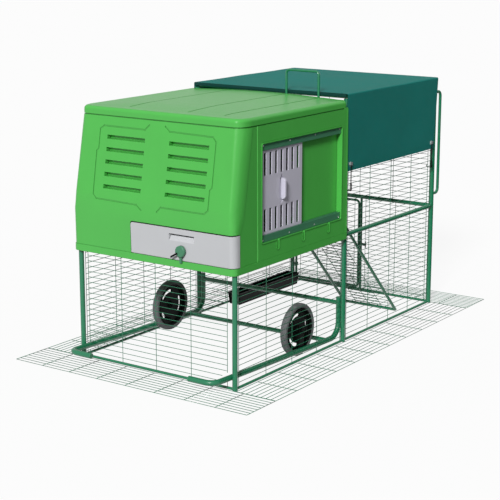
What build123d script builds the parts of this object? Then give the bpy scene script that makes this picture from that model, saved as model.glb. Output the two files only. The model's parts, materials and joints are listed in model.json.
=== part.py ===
from build123d import *
import math
import os

# Chicken house on a wheeled steel frame, with a wire run behind it and a cloth cover.
# Millimetres. X runs across, Y from the louvred front (-) to the run's rear (+), Z up from the ground.

# Overall sizes
FOOT_WIDTH = 1207.0
FOOT_LENGTH = 2045.0
HEIGHT = 1200.0
SEAT = 0.3
WELD = 0.05

# Tube frame
POST_SPAN = 800.0
FRAME_LENGTH = 1632.0
MID_POST_Y = 6.0
POST_D = 22.0
RAIL_D = 20.0
EDGE_D = 12.0
RAIL_Z = 487.0
TOP_RAIL_Z = 1095.0
HOOP_BEND = 30.0
GRAB_D = 14.0
GRAB_REACH = 60.0
GRAB_LOW_Z = 544.0
GRAB_HIGH_Z = 1036.0
GRAB_BEND = 22.0

# Welded wire
WIRE_D = 2.5
NET_MARGIN = 25.0
FRONT_NET_MARGIN = 37.0
NET_COLUMNS = 4
NET_LOW_ROWS = 10
NET_HIGH_ROWS = 12
TOP_NET_ROWS = 6
SKIRT_MESH = 150.0
SKIRT_ROWS = 4

# House shell
WALL = 3.6
HOUSE_Z = 503.0
KINK_Z = 690.0
KINK_SOFTNESS = 35.0
EAVES_Z = 1050.0
HOUSE_FRONT_Y = -843.0
KINK_FRONT_Y = -848.0
EAVES_FRONT_Y = -789.0
HOUSE_HALF = 418.0
EAVES_HALF = 415.5
CORNERS = ((25.0, 30.0), (25.0, 37.0), (27.0, 62.0), (40.0, 72.0))
HOUSE_REAR_Y = -6.0
SEAM_BEND_Y = -781.0
SEAM_BEND_Z = 680.0
SEAM_HIGH_Y = -714.0
SEAM_REVEAL = 1.2
RIB_Y = -683.0
RIB_STEP = 5.0
EAVES_REVEAL = 5.0
EAVES_REVEAL_DEPTH = 6.0
EAVES_BAND = 9.6
REAR_BEAD = 2.2
REAR_BEAD_WIDTH = 8.0
REAR_WALL_Y = -28.0

# House base
LIP_HALF = 419.5
LIP_FRONT_Y = -845.5
LIP_DROP = 29.5
LIP_ROUND = 3.0
FLOOR_THICK = 3.5

# Roof
ROOF_RISE = 32.0
ROOF_CROWN = 9.0
ROOF_FALL = 300.0
ROOF_EDGE = 16.0
ROOF_REAR_Y = -24.5
CREASE_X = (-190.0, 110.0, 290.0)
CREASE_WIDTH = 6.0
CREASE_DEPTH = 2.2
CREASE_INSET = 60.0

# Louvres and the moulded line round them
LOUVRE_CENTRE_X = 9.0
LOUVRE_INNER_X = 62.0
LOUVRE_LENGTH = 198.0
LOUVRE_TALL = 16.5
LOUVRE_COUNT = 5
LOUVRE_LOW_Z = 762.0
LOUVRE_PITCH = 50.3
SLEEVE_WALL = 2.4
SLEEVE_DEEP = 20.0
LINE_WIDTH = 6.0
LINE_DEPTH = 2.2
LINE_CENTRE_Z = 857.0
LINE_POINTS = (
    (-36.0, 1026.0), (-56.0, 1006.0), (-272.0, 1007.0), (-291.0, 992.0), (-291.0, 914.0),
    (-301.0, 902.0), (-301.0, 726.0), (-284.0, 709.0), (-70.0, 705.0), (-46.0, 687.0),
)

# Egg drawer
DRAWER_LEFT_X = -101.0
DRAWER_TOP_Z = 632.0
DRAWER_WRAP_Y = -805.0
DRAWER_GAP = 2.0
DRAWER_REVEAL = 5.0
DRAWER_CORNER = 10.0
TRAY_LEFT_X = -88.0
TRAY_RIGHT_X = 380.0
TRAY_REAR_Y = -480.0
TRAY_TOP_Z = 600.0
TRAY_WALL = 3.0
RUNNER_WIDTH = 10.0
RUNNER_INSET = 30.0
PULL_X = 160.0
PULL_Z = 610.0
PULL_WIDTH = 126.0
PULL_TALL = 35.0
PULL_DEPTH = 28.0
PULL_SLOT = 9.0
PULL_LEAN = 13.0
KNOB_Z = 544.0
KNOB_D = 46.0
KNOB_THICK = 12.0
KNOB_GAP = 3.6
SPINDLE_D = 10.0
SPINDLE_FIT = 0.06
TONGUE_WIDTH = 10.0
TONGUE_REACH = 48.0
LEVER_REACH = 56.0
LEVER_SLOPE = 32.0
LEVER_WIDTH = 7.0
LEVER_THICK = 5.0

# Right wall recess and its sliding vent door
POCKET_FRONT_Y = -656.0
POCKET_REAR_Y = -56.0
POCKET_LOW_Z = 573.0
POCKET_HIGH_Z = 972.0
POCKET_FLOOR_X = 393.0
POCKET_WALL = 3.2
POCKET_CORNER = 8.0
BEAD_WIDTH = 4.0
BEAD_X = 420.2
VENT_WIDTH = 298.0
VENT_THICK = 6.0
VENT_RAIL_TALL = 28.0
VENT_RAIL_DEEP = 20.0
VENT_ENGAGE = 8.0
VENT_BACK_GAP = 8.0
VENT_RUN_GAP = 0.4
VENT_SLOTS = 7
VENT_SLOT_WIDTH = 14.0
VENT_SLOT_TALL = 92.0
VENT_SLOT_PITCH = 39.5
VENT_SLOT_EDGE = 12.0
VENT_SLOT_ROUND = 3.5
VENT_HOLE_INSET = 14.0
DISH_TALL = 124.0
DISH_WIDTH = 44.0
DISH_DEEP = 9.0
DISH_WALL = 2.4
FIN_TALL = 86.0
FIN_PROUD = 18.0
FIN_THICK = 8.0
FIN_ROUND = 14.0
SCREW_D = 7.0
SCREW_PROUD = 1.6
SCREWS_PER_RAIL = 4
NOTCH_Y = (-541.0, -353.0, -157.0)
NOTCH_WIDTH = 12.0
NOTCH_TALL = 42.0
NOTCH_DEPTH = 8.0

# Pop door and its lift handle
POP_X = 190.0
POP_WIDTH = 250.0
POP_LOW_Z = 545.0
POP_TALL = 250.0
POP_DOOR_Y = -17.5
POP_DOOR_THICK = 5.0
POP_OVERLAP = 12.0
POP_LIP = 10.0
GUIDE_WIDTH = 16.0
GUIDE_DEEP = 18.0
GUIDE_FIT = 0.6
ROD_D = 11.0
ROD_SPAN = 166.0
ROD_BEND = 16.0
BOSS_D = 17.0
BOSS_TALL = 30.0

# Perches
PERCH_D = 32.0
PERCH_X = (-290.0, -150.0)
PERCH_Z = 640.0
CUP_WALL = 4.0
CUP_DEEP = 20.0

# Ladder
LADDER_X = 203.0
LADDER_SPAN = 286.0
LADDER_D = 14.0
LADDER_PIVOT_Y = -1.0
LADDER_PIVOT_Z = 536.0
LADDER_LEVEL = 70.0
LADDER_FOOT_Y = 582.0
LADDER_FOOT_Z = 8.0
LADDER_BEND = 22.0
LADDER_COLUMNS = 4
LADDER_ROWS = 9
SADDLE_WIDTH = 24.0
SADDLE_INSET = 50.0

# Rear door of the run
DOOR_POST_X = 11.0
DOOR_GAP = 1.0
DOOR_HINGE_GAP = 7.0
DOOR_LOW_Z = 20.0
DOOR_HIGH_Z = 466.0
DOOR_BEND = 18.0
EYE_D = 20.0
EYE_TALL = 16.0
EYE_FIT = 0.1
EYE_Z = (88.0, 400.0)
LATCH_Z = 241.0
LATCH_LENGTH = 46.0
LATCH_TALL = 12.0
LATCH_THICK = 6.0
LATCH_PIN_D = 5.0
LATCH_TAB = 34.0

# Feed trough
TROUGH_FRONT_Y = 230.0
TROUGH_LENGTH = 525.0
TROUGH_WIDTH = 73.0
TROUGH_TALL = 58.0
TROUGH_WALL = 3.0
TROUGH_RIM = 5.0
TROUGH_TAPER = 6.0
TROUGH_HOOK = 22.0
TROUGH_HOOK_INSET = 70.0

# Chassis and wheels
SKID_D = 24.0
SKID_FRONT_Y = -930.0
SKID_FRONT_Z = 54.0
SKID_REAR_Z = 22.0
SKID_TURN_IN = 137.0
SKID_TOP_Z = 200.0
SKID_FRONT_BEND = 40.0
SKID_REAR_BEND = 66.0
PLUG_LENGTH = 6.0
CROSS_D = 20.0
UPPER_CROSS_Z = 176.0
LOWER_CROSS_Y = -90.0
WHEEL_D = 230.0
WHEEL_WIDTH = 32.0
WHEEL_Y = -283.0
WHEEL_LIFT = 2.0
WHEEL_SIDE_GAP = 1.5
TYRE_DEEP = 26.0
TYRE_ROUND = 9.0
RIM_THICK = 7.0
DISC_THICK = 8.0
HUB_D = 36.0
HUB_SLOT_RADIUS = 58.0
HUB_SLOT_WIDTH = 15.0
HUB_SLOT_SWEEP = 52.0
HUB_SLOTS = 3
HUB_SLOT_ANGLE = 100.0
AXLE_D = 12.0
AXLE_FIT = 0.06
BOLT_HEAD_D = 19.0
BOLT_HEAD_TALL = 6.0
LUG_THICK = 5.0
LUG_WIDTH = 34.0

# Cloth cover and its ties
CLOTH = 2.0
COVER_FRONT_Y = -4.0
COVER_DROP = 12.0
COVER_HEM_Z = 770.0
COVER_TUCK = 28.0
COVER_EDGE = 14.0
TIE_FRONT_Y = 25.0
TIE_REAR_Y = 770.0
TIE_Z = 800.0
GROMMET_D = 20.0
GROMMET_BORE = 9.0
GROMMET_THICK = 3.4
CLIP_WIDTH = 14.0
CLIP_DEEP = 7.0
CLIP_TALL = 28.0
CORD_D = 4.5
CORD_LENGTH = 44.0
HOOK_BODY_TALL = 22.0
HOOK_BODY_WIDTH = 12.0
HOOK_WIRE_D = 3.5

# Places worked out from the sizes above
post_x = POST_SPAN / 2
front_y = -FRAME_LENGTH / 2
rear_y = FRAME_LENGTH / 2
edge_z = EDGE_D / 2
hoop_low_z = RAIL_Z - RAIL_D / 2
hoop_top_z = RAIL_Z + RAIL_D / 2
top_hoop_low_z = TOP_RAIL_Z - RAIL_D / 2
support_rear_y = MID_POST_Y - POST_D / 2 - RAIL_D / 2 - SEAT
floor_z = hoop_top_z + SEAT + FLOOR_THICK
low_pitch = (RAIL_Z - edge_z) / NET_LOW_ROWS
high_top_z = top_hoop_low_z - SEAT - WIRE_D / 2
high_pitch = (high_top_z - RAIL_Z) / NET_HIGH_ROWS
skid_x = post_x - POST_D / 2 - SEAT - SKID_D / 2
wheel_x = skid_x - SKID_D / 2 - WHEEL_SIDE_GAP - WHEEL_WIDTH / 2
wheel_z = WHEEL_D / 2 + WHEEL_LIFT
tray_low_z = HOUSE_Z + SEAT
pop_high_z = POP_LOW_Z + POP_TALL
pop_door_low_z = POP_LOW_Z - POP_LIP
pop_door_high_z = pop_high_z + POP_OVERLAP
door_left_x = -post_x + POST_D / 2 + DOOR_HINGE_GAP + EDGE_D / 2
door_right_x = DOOR_POST_X - EDGE_D - DOOR_GAP
flap_x = post_x + POST_D / 2 + SEAT
cover_top_z = TOP_RAIL_Z + RAIL_D / 2 + SEAT


def rod(start, end, diameter):
    """Round bar from one point to another."""
    line = Vector(*end) - Vector(*start)
    return Plane(origin=start, z_dir=line) * Cylinder(
        diameter / 2, line.length, align=(Align.CENTER, Align.CENTER, Align.MIN))


def bent_rod(points, diameter, bends, close=False):
    """Round bar through straight runs joined by tangent bends."""
    path = FilletPolyline(*points, radius=bends, close=close)
    return sweep(Plane(origin=path @ 0, z_dir=path % 0) * Circle(diameter / 2), path=path)


def block(x, y, z):
    """Box between two limits on each axis."""
    return Pos((x[0] + x[1]) / 2, (y[0] + y[1]) / 2, (z[0] + z[1]) / 2) * Box(
        abs(x[1] - x[0]), abs(y[1] - y[0]), abs(z[1] - z[0]))


def side_prism(points, x):
    """Solid of a YZ outline between two X limits."""
    outline = make_face(Plane.YZ * Polyline(*points, close=True))
    return extrude(Pos(x[0], 0, 0) * outline, x[1] - x[0], dir=(1, 0, 0))


def spread(low, high, gaps):
    """Even steps from low to high, ends included."""
    return [low + (high - low) * step / gaps for step in range(gaps + 1)]


def rectangle_wire(left, low, right, high):
    """Closed rectangle in the XY plane."""
    return Wire.make_polygon([(left, low), (right, low), (right, high), (left, high)])


def wire_net(columns, rows, plane):
    """Flat welded net as one holed face, thickened to the wire's size."""
    half = WIRE_D / 2
    outline = rectangle_wire(columns[0] - half, rows[0] - half, columns[-1] + half, rows[-1] + half)
    gaps = [
        rectangle_wire(left + half, low + half, right - half, high - half)
        for left, right in zip(columns, columns[1:])
        for low, high in zip(rows, rows[1:])
    ]
    return plane * extrude(Face(outline, gaps), half, both=True)


def across_plane(y):
    """Upright plane facing the front, drawn in X and Z."""
    return Plane(origin=(0, y, 0), x_dir=(1, 0, 0), z_dir=(0, -1, 0))


def along_plane(x):
    """Upright plane facing sideways, drawn in Y and Z."""
    return Plane(origin=(x, 0, 0), x_dir=(0, 1, 0), z_dir=(1, 0, 0))


def grown_post(x, y):
    """Post with its weld clearance, used to cope the ends of rails."""
    return Pos(x, y, 0) * Cylinder(
        POST_D / 2 + WELD, HEIGHT, align=(Align.CENTER, Align.CENTER, Align.MIN))


def frame_posts():
    """Six upright tubes: two short ones under the house, four tall ones round the run."""
    posts = {}
    for side, sign in (("left", -1), ("right", 1)):
        x = sign * post_x
        posts[f"front_{side}_post"] = rod((x, front_y, 0), (x, front_y, hoop_low_z - SEAT), POST_D)
        posts[f"mid_{side}_post"] = rod((x, MID_POST_Y, 0), (x, MID_POST_Y, top_hoop_low_z), POST_D)
        posts[f"rear_{side}_post"] = rod((x, rear_y, 0), (x, rear_y, top_hoop_low_z), POST_D)
    return posts


def flat_hoop(back_y, fore_y, z):
    """Rectangular hoop of bent tube lying level over the posts."""
    corners = ((0, fore_y, z), (post_x, fore_y, z), (post_x, back_y, z), (-post_x, back_y, z),
               (-post_x, fore_y, z), (0, fore_y, z))
    return bent_rod(corners[:-1], RAIL_D, (0, HOOP_BEND, HOOP_BEND, HOOP_BEND, HOOP_BEND), close=True)


def grab_handle(sign):
    """U bar welded behind a rear post."""
    x = sign * post_x
    out_y = rear_y + GRAB_REACH
    points = ((x, rear_y, GRAB_HIGH_Z), (x, out_y, GRAB_HIGH_Z),
              (x, out_y, GRAB_LOW_Z), (x, rear_y, GRAB_LOW_Z))
    return bent_rod(points, GRAB_D, GRAB_BEND) - grown_post(x, rear_y)


def skid_clearance(sign):
    """Straight run of a skid, grown for the front net to clear."""
    _, start, end, _ = skid_points(sign)
    return rod(start, end, SKID_D + 4 * WIRE_D)


def front_net():
    """Wire wall under the house's front, with its bottom rail."""
    columns = spread(-post_x + FRONT_NET_MARGIN, post_x - FRONT_NET_MARGIN, NET_COLUMNS)
    rows = spread(edge_z, hoop_low_z - SEAT - WIRE_D / 2, NET_LOW_ROWS)
    net = wire_net(columns, rows, across_plane(front_y))
    net = net - skid_clearance(-1) - skid_clearance(1)
    rail = rod((-post_x, front_y, edge_z), (post_x, front_y, edge_z), EDGE_D)
    return rail - grown_post(-post_x, front_y) - grown_post(post_x, front_y) + net


def side_front_net(sign):
    """Wire wall under the house's side, with its bottom rail."""
    x = sign * post_x
    columns = spread(front_y + NET_MARGIN, MID_POST_Y - NET_MARGIN, NET_COLUMNS)
    rows = spread(edge_z, hoop_low_z - SEAT - WIRE_D / 2, NET_LOW_ROWS)
    rail = rod((x, front_y, edge_z), (x, MID_POST_Y, edge_z), EDGE_D)
    rail = rail - grown_post(x, front_y) - grown_post(x, MID_POST_Y)
    return rail + wire_net(columns, rows, along_plane(x))


def run_rows():
    """Levels of the run's wires: bottom rail to mid rail, then on to the top hoop."""
    return spread(edge_z, RAIL_Z, NET_LOW_ROWS) + spread(RAIL_Z, high_top_z, NET_HIGH_ROWS)[1:]


def side_run_net(sign):
    """Wire wall of the run's side, with its bottom rail and mid rail."""
    x = sign * post_x
    columns = spread(MID_POST_Y + NET_MARGIN, rear_y - NET_MARGIN, NET_COLUMNS)
    wall = wire_net(columns, run_rows(), along_plane(x))
    for z, diameter in ((edge_z, EDGE_D), (RAIL_Z, RAIL_D)):
        rail = rod((x, MID_POST_Y, z), (x, rear_y, z), diameter)
        wall += rail - grown_post(x, MID_POST_Y) - grown_post(x, rear_y)
    return wall


def rear_net():
    """Rear wall of the run: upper net, lower net beside the door, rails and door post."""
    plane = across_plane(rear_y)
    upper_columns = spread(-post_x + NET_MARGIN, post_x - NET_MARGIN, NET_COLUMNS)
    lower_columns = spread(DOOR_POST_X + NET_MARGIN, post_x - NET_MARGIN, NET_COLUMNS // 2)
    wall = wire_net(upper_columns, spread(RAIL_Z, high_top_z, NET_HIGH_ROWS), plane)
    wall += wire_net(lower_columns, spread(edge_z, RAIL_Z, NET_LOW_ROWS), plane)
    rail_end = post_x - RAIL_D / 2 - SEAT
    for z, diameter in ((edge_z, EDGE_D), (RAIL_Z, RAIL_D)):
        rail = rod((-rail_end, rear_y, z), (rail_end, rear_y, z), diameter)
        wall += rail - grown_post(-post_x, rear_y) - grown_post(post_x, rear_y)
    wall += rod((DOOR_POST_X, rear_y, edge_z), (DOOR_POST_X, rear_y, RAIL_Z), EDGE_D)
    pin_end = latch_y()[1] + SEAT
    wall += rod((DOOR_POST_X, rear_y, LATCH_Z), (DOOR_POST_X, pin_end, LATCH_Z), LATCH_PIN_D)
    head = rod((DOOR_POST_X, pin_end, LATCH_Z), (DOOR_POST_X, pin_end + 2, LATCH_Z), 2 * LATCH_PIN_D)
    return wall + head


def run_top_net():
    """Wire roof of the run, lying inside the top hoop."""
    half = post_x - RAIL_D / 2 - SEAT - WIRE_D / 2
    fore = MID_POST_Y + RAIL_D / 2 + SEAT + WIRE_D / 2
    back = rear_y - RAIL_D / 2 - SEAT - WIRE_D / 2
    columns = spread(-half, half, NET_COLUMNS)
    net = wire_net(columns, spread(fore, back, TOP_NET_ROWS), Plane.XY.offset(TOP_RAIL_Z))
    return net - flat_hoop(rear_y, MID_POST_Y, TOP_RAIL_Z)


def skirts():
    """Wire aprons that lie on the ground round the frame."""
    plane = Plane.XY.offset(WIRE_D / 2)
    out_x = FOOT_WIDTH / 2 - WIRE_D / 2
    out_y = FOOT_LENGTH / 2 - WIRE_D / 2
    inner_x = post_x + POST_D / 2 + SEAT + WIRE_D / 2
    inner_y = rear_y + POST_D / 2 + SEAT + WIRE_D / 2
    across = spread(-out_x, out_x, round(FOOT_WIDTH / SKIRT_MESH))
    side_end = inner_y - WIRE_D - SEAT
    along = spread(-side_end, side_end, round(2 * inner_y / SKIRT_MESH))
    return {
        "front_skirt": wire_net(across, spread(-out_y, -inner_y, SKIRT_ROWS), plane),
        "rear_skirt": wire_net(across, spread(inner_y, out_y, SKIRT_ROWS), plane),
        "left_skirt": wire_net(spread(-out_x, -inner_x, SKIRT_ROWS), along, plane),
        "right_skirt": wire_net(spread(inner_x, out_x, SKIRT_ROWS), along, plane),
    }


def shell_levels():
    """Front, half width and level of each section of the house shell, with the kink softened."""
    low_z = KINK_Z - KINK_SOFTNESS
    high_z = KINK_Z + KINK_SOFTNESS
    low_share = (low_z - HOUSE_Z) / (KINK_Z - HOUSE_Z)
    high_share = (high_z - KINK_Z) / (EAVES_Z - KINK_Z)
    low_front = HOUSE_FRONT_Y + (KINK_FRONT_Y - HOUSE_FRONT_Y) * low_share
    high_front = KINK_FRONT_Y + (EAVES_FRONT_Y - KINK_FRONT_Y) * high_share
    return ((HOUSE_Z, HOUSE_FRONT_Y), (low_z, low_front), (high_z, high_front), (EAVES_Z, EAVES_FRONT_Y))


def half_width(z):
    """Half the house's width at a level: the sides lean in a little towards the eaves."""
    share = (z - HOUSE_Z) / (EAVES_Z - HOUSE_Z)
    return HOUSE_HALF + (EAVES_HALF - HOUSE_HALF) * share


def rounded_outline(half, fore_y, back_y, corner, z):
    """Level outline with a quarter of an oval at its two front corners."""
    wide, deep = corner
    start_y = fore_y + deep
    outline = Polyline((half, start_y), (half, back_y), (-half, back_y), (-half, start_y))
    outline += EllipticalCenterArc((wide - half, start_y), wide, deep, start_angle=180, arc_size=90)
    outline += Line((wide - half, fore_y), (half - wide, fore_y))
    outline += EllipticalCenterArc((half - wide, start_y), wide, deep, start_angle=270, arc_size=90)
    return Pos(0, 0, z) * make_face(outline)


def drawn_in(corner, inset):
    """Radii of a corner on the inside of a wall."""
    return corner[0] - inset, corner[1] - inset


def shell_solid(inset, back_y):
    """House form as one solid, drawn in by a wall where asked."""
    sections = [
        rounded_outline(half_width(z) - inset, fore + inset, back_y, drawn_in(corner, inset), z)
        for (z, fore), corner in zip(shell_levels(), CORNERS)
    ]
    return loft(sections, ruled=True)


def seam_line():
    """Place and level of the seam's corners: upright beside the drawer, then leaning back to the eaves."""
    low_y = DRAWER_WRAP_Y + DRAWER_GAP
    wrap_z = DRAWER_TOP_Z + DRAWER_REVEAL
    return ((low_y, HOUSE_Z), (low_y, wrap_z), (SEAM_BEND_Y, SEAM_BEND_Z), (SEAM_HIGH_Y, EAVES_Z))


def seam_front():
    """Everything ahead of the seam between the front panel and the sides."""
    far = 2 * HOUSE_FRONT_Y
    reach = 2 * HOUSE_HALF
    seam = seam_line()
    outline = ((far, 0), (seam[0][0], 0), *seam, (SEAM_HIGH_Y, HEIGHT), (far, HEIGHT))
    return side_prism(outline, (-reach, reach))


def level_face(points, z):
    """Level face through XY points."""
    return make_face(Polyline(*[(x, y, z) for x, y in points], close=True))


def strip_solids(sign):
    """Sunk strip between the seam and the side's upright step: what is cut away, and the skin behind it."""
    cuts, skins = [], []
    for seam_y, z in seam_line():
        out = half_width(z)
        deep = out - RIB_STEP
        cut = ((out + RIB_STEP, seam_y), (out - SEAM_REVEAL, seam_y), (deep, RIB_Y - RIB_STEP),
               (out + RIB_STEP, RIB_Y + RIB_STEP))
        skin = ((out - WALL / 2, seam_y + SEAM_REVEAL), (out - WALL, seam_y + SEAM_REVEAL),
                (deep - WALL, RIB_Y - RIB_STEP), (deep - WALL, RIB_Y + WALL), (out - WALL / 2, RIB_Y + WALL))
        cuts.append(level_face([(sign * x, y) for x, y in cut], z))
        skins.append(level_face([(sign * x, y) for x, y in skin], z))
    return loft(cuts, ruled=True), loft(skins, ruled=True)


def eaves_ring(depth, low_z, back_y):
    """Ring round the top of the walls, to a depth from their face and as far as a place along the sides."""
    slab = block((-2 * HOUSE_HALF, 2 * HOUSE_HALF), (2 * HOUSE_FRONT_Y, back_y), (low_z, EAVES_Z + 1))
    return slab - shell_solid(depth, HOUSE_REAR_Y)


def house_walls():
    """Front, left and right wall panels cut from one shell, before their own details."""
    form = shell_solid(0, HOUSE_REAR_Y)
    shell = form - shell_solid(WALL, HOUSE_REAR_Y + 2 * WALL)
    gap_z = EAVES_Z - EAVES_REVEAL
    band_end = REAR_WALL_Y - WALL - SEAT
    gap = eaves_ring(EAVES_REVEAL_DEPTH, gap_z, band_end - WALL)
    shell += form & eaves_ring(EAVES_BAND, gap_z - WALL, band_end)
    shell -= gap
    bead_y = (HOUSE_REAR_Y - REAR_BEAD_WIDTH, HOUSE_REAR_Y)
    bead = shell_solid(-REAR_BEAD, HOUSE_REAR_Y) - shell_solid(WALL / 2, HOUSE_REAR_Y + WALL)
    shell += bead & block((-2 * HOUSE_HALF, 2 * HOUSE_HALF), bead_y, (HOUSE_Z, gap_z))
    ahead = seam_front()
    sides = (shell - ahead).solids().sort_by(Axis.X)
    panels = []
    for sign, side in ((-1, sides[0]), (1, sides[-1])):
        cut, skin = strip_solids(sign)
        panels.append(side + skin - cut - gap)
    return shell & ahead, *panels


def front_y_at(z):
    """Front face's place at a level."""
    levels = shell_levels()
    for (low_z, low_y), (high_z, high_y) in zip(levels, levels[1:]):
        if z <= high_z:
            return low_y + (high_y - low_y) * (z - low_z) / (high_z - low_z)
    return EAVES_FRONT_Y


def louvres():
    """Two groups of level slots: the sleeve behind each one, and the cut through it."""
    sleeves, cuts = [], []
    for row in range(LOUVRE_COUNT):
        z = LOUVRE_LOW_Z + row * LOUVRE_PITCH
        back = front_y_at(z) + SLEEVE_DEEP
        half_tall = LOUVRE_TALL / 2
        low, high = z - half_tall - SLEEVE_WALL, z + half_tall + SLEEVE_WALL
        low_root, high_root = front_y_at(low) + WALL / 2, front_y_at(high) + WALL / 2
        outline = ((low_root, low), (back, low), (back, high), (high_root, high))
        for sign in (-1, 1):
            x = LOUVRE_CENTRE_X + sign * (LOUVRE_INNER_X + LOUVRE_LENGTH / 2)
            left, right = x - LOUVRE_LENGTH / 2, x + LOUVRE_LENGTH / 2
            sleeves.append(side_prism(outline, (left - SLEEVE_WALL, right + SLEEVE_WALL)))
            through = (back - 2 * SLEEVE_DEEP, back + 1)
            cuts.append(block((left, right), through, (z - half_tall, z + half_tall)))
    return sleeves, cuts


def moulded_lines():
    """Shallow grooves round the louvres: one bracket, and the same turned half a turn."""
    grooves = []
    for turn in (1, -1):
        points = [(turn * x, LINE_CENTRE_Z + turn * (z - LINE_CENTRE_Z)) for x, z in LINE_POINTS]
        for (x0, z0), (x1, z1) in zip(points, points[1:]):
            start = (x0, front_y_at(z0), z0)
            end = (x1, front_y_at(z1), z1)
            run = Vector(*end) - Vector(*start)
            middle = (Vector(*start) + Vector(*end)) * 0.5
            place = Plane(origin=middle, x_dir=run, z_dir=run.cross(Vector(0, 1, 0)))
            grooves.append(place * Box(run.length + LINE_WIDTH, 2 * LINE_DEPTH, LINE_WIDTH))
    return grooves


def drawer_zone(low_z, gap, reveal):
    """Space of the drawer's fascia in the front panel, grown by a gap and by a reveal over its top."""
    wide = (DRAWER_LEFT_X - gap, 2 * HOUSE_HALF)
    deep = (2 * HOUSE_FRONT_Y, DRAWER_WRAP_Y + gap)
    zone = block(wide, deep, (low_z, DRAWER_TOP_Z + reveal))
    left = zone.edges().filter_by(Axis.Y).group_by(Axis.X)[0]
    return fillet(left.sort_by(Axis.Z)[-1], DRAWER_CORNER + gap)


def perch_cup(x, y_from, y_to):
    """Open-topped ring that a perch drops into."""
    outer = PERCH_D / 2 + CUP_WALL
    ring = rod((x, y_from, PERCH_Z), (x, y_to, PERCH_Z), 2 * outer)
    bore = rod((x, y_from - 1, PERCH_Z), (x, y_to + 1, PERCH_Z), PERCH_D + 2 * SEAT)
    top = block((x - outer, x + outer), (y_from - 1, y_to + 1), (PERCH_Z, PERCH_Z + 2 * outer))
    return ring - bore - top


def house_front(panel):
    """Louvred front panel with the drawer's opening, and two perch cups inside."""
    panel -= drawer_zone(HOUSE_Z, DRAWER_GAP, DRAWER_REVEAL)
    sleeves, slots = louvres()
    for sleeve in sleeves:
        panel += sleeve
    for cut in slots + moulded_lines():
        panel -= cut
    inner_y = front_y_at(PERCH_Z) + WALL
    for x in PERCH_X:
        panel += perch_cup(x, inner_y - WALL / 2, inner_y + CUP_DEEP)
    return panel


def pocket_outline(grow):
    """Recess outline in Y and Z, grown by a wall where asked."""
    deep = POCKET_REAR_Y - POCKET_FRONT_Y + 2 * grow
    tall = POCKET_HIGH_Z - POCKET_LOW_Z + 2 * grow
    centre = ((POCKET_FRONT_Y + POCKET_REAR_Y) / 2, (POCKET_LOW_Z + POCKET_HIGH_Z) / 2)
    return Pos(*centre) * RectangleRounded(deep, tall, POCKET_CORNER + grow)


def notch_outlines(grow):
    """Three drain notches in the recess's lower edge, round at the bottom, grown where asked."""
    reach = NOTCH_TALL + NOTCH_WIDTH + grow
    middle = POCKET_LOW_Z - NOTCH_TALL - grow + reach / 2
    return [Pos(y, middle) * SlotOverall(reach, NOTCH_WIDTH + 2 * grow, rotation=90) for y in NOTCH_Y]


def side_slab(outline, x):
    """Solid of a face drawn in Y and Z, between two X limits."""
    return extrude(Pos(x[0], 0, 0) * (Plane.YZ * outline), x[1] - x[0], dir=(1, 0, 0))


def vent_limits():
    """Front edge, rear edge, low edge and top edge of the sliding door."""
    fore = POCKET_FRONT_Y + VENT_RAIL_TALL / 4
    low = POCKET_LOW_Z + VENT_RAIL_TALL - VENT_ENGAGE
    return fore, fore + VENT_WIDTH, low, POCKET_HIGH_Z - VENT_RAIL_TALL + VENT_ENGAGE


def house_right(panel):
    """Right wall with its moulded recess and bead, the opening behind the vent door and drain notches."""
    skin_x = half_width(POCKET_HIGH_Z) - WALL / 4
    floor_back = POCKET_FLOOR_X - POCKET_WALL
    notch_x = half_width(POCKET_LOW_Z) - NOTCH_DEPTH
    panel -= side_slab(pocket_outline(0), (floor_back, 2 * HOUSE_HALF))
    panel += side_slab(pocket_outline(POCKET_WALL), (floor_back, skin_x))
    panel += side_slab(pocket_outline(BEAD_WIDTH), (skin_x - WALL / 2, BEAD_X))
    for wall, bead in zip(notch_outlines(POCKET_WALL), notch_outlines(BEAD_WIDTH)):
        panel += side_slab(wall, (notch_x - POCKET_WALL, skin_x))
        panel += side_slab(bead, (skin_x - WALL / 2, BEAD_X))
    panel -= side_slab(pocket_outline(0), (POCKET_FLOOR_X, 2 * HOUSE_HALF))
    for notch in notch_outlines(0):
        panel -= side_slab(notch, (notch_x, 2 * HOUSE_HALF))
    fore, back, low, high = vent_limits()
    inset = VENT_HOLE_INSET + VENT_ENGAGE
    return panel - block((floor_back - 1, POCKET_FLOOR_X + 1), (fore + inset, back - inset),
                         (low + inset, high - inset))


def vent_rail(low_z, groove_low_z, groove_high_z):
    """Channel that the vent door slides in."""
    rail_x = (POCKET_FLOOR_X, POCKET_FLOOR_X + VENT_RAIL_DEEP)
    rail_y = (POCKET_FRONT_Y + SEAT, POCKET_REAR_Y - SEAT)
    rail = block(rail_x, rail_y, (low_z, low_z + VENT_RAIL_TALL))
    back = POCKET_FLOOR_X + VENT_BACK_GAP
    groove = (back - VENT_RUN_GAP, back + VENT_THICK + VENT_RUN_GAP)
    rail -= block(groove, (rail_y[0] - 1, rail_y[1] + 1), (groove_low_z, groove_high_z))
    corner = rail.edges().filter_by(Axis.X).group_by(Axis.Z)
    outside = corner[0] if groove_high_z > low_z + VENT_RAIL_TALL else corner[-1]
    return fillet(outside, POCKET_CORNER - SEAT)


def dish_outline(grow):
    """Pointed oval of the finger dish, from two arcs, grown where asked."""
    tip = DISH_TALL / 2 + grow
    belly = DISH_WIDTH / 2 + grow
    left = ThreePointArc((0, -tip), (-belly, 0), (0, tip))
    return make_face(left + ThreePointArc((0, tip), (belly, 0), (0, -tip)))


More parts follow.
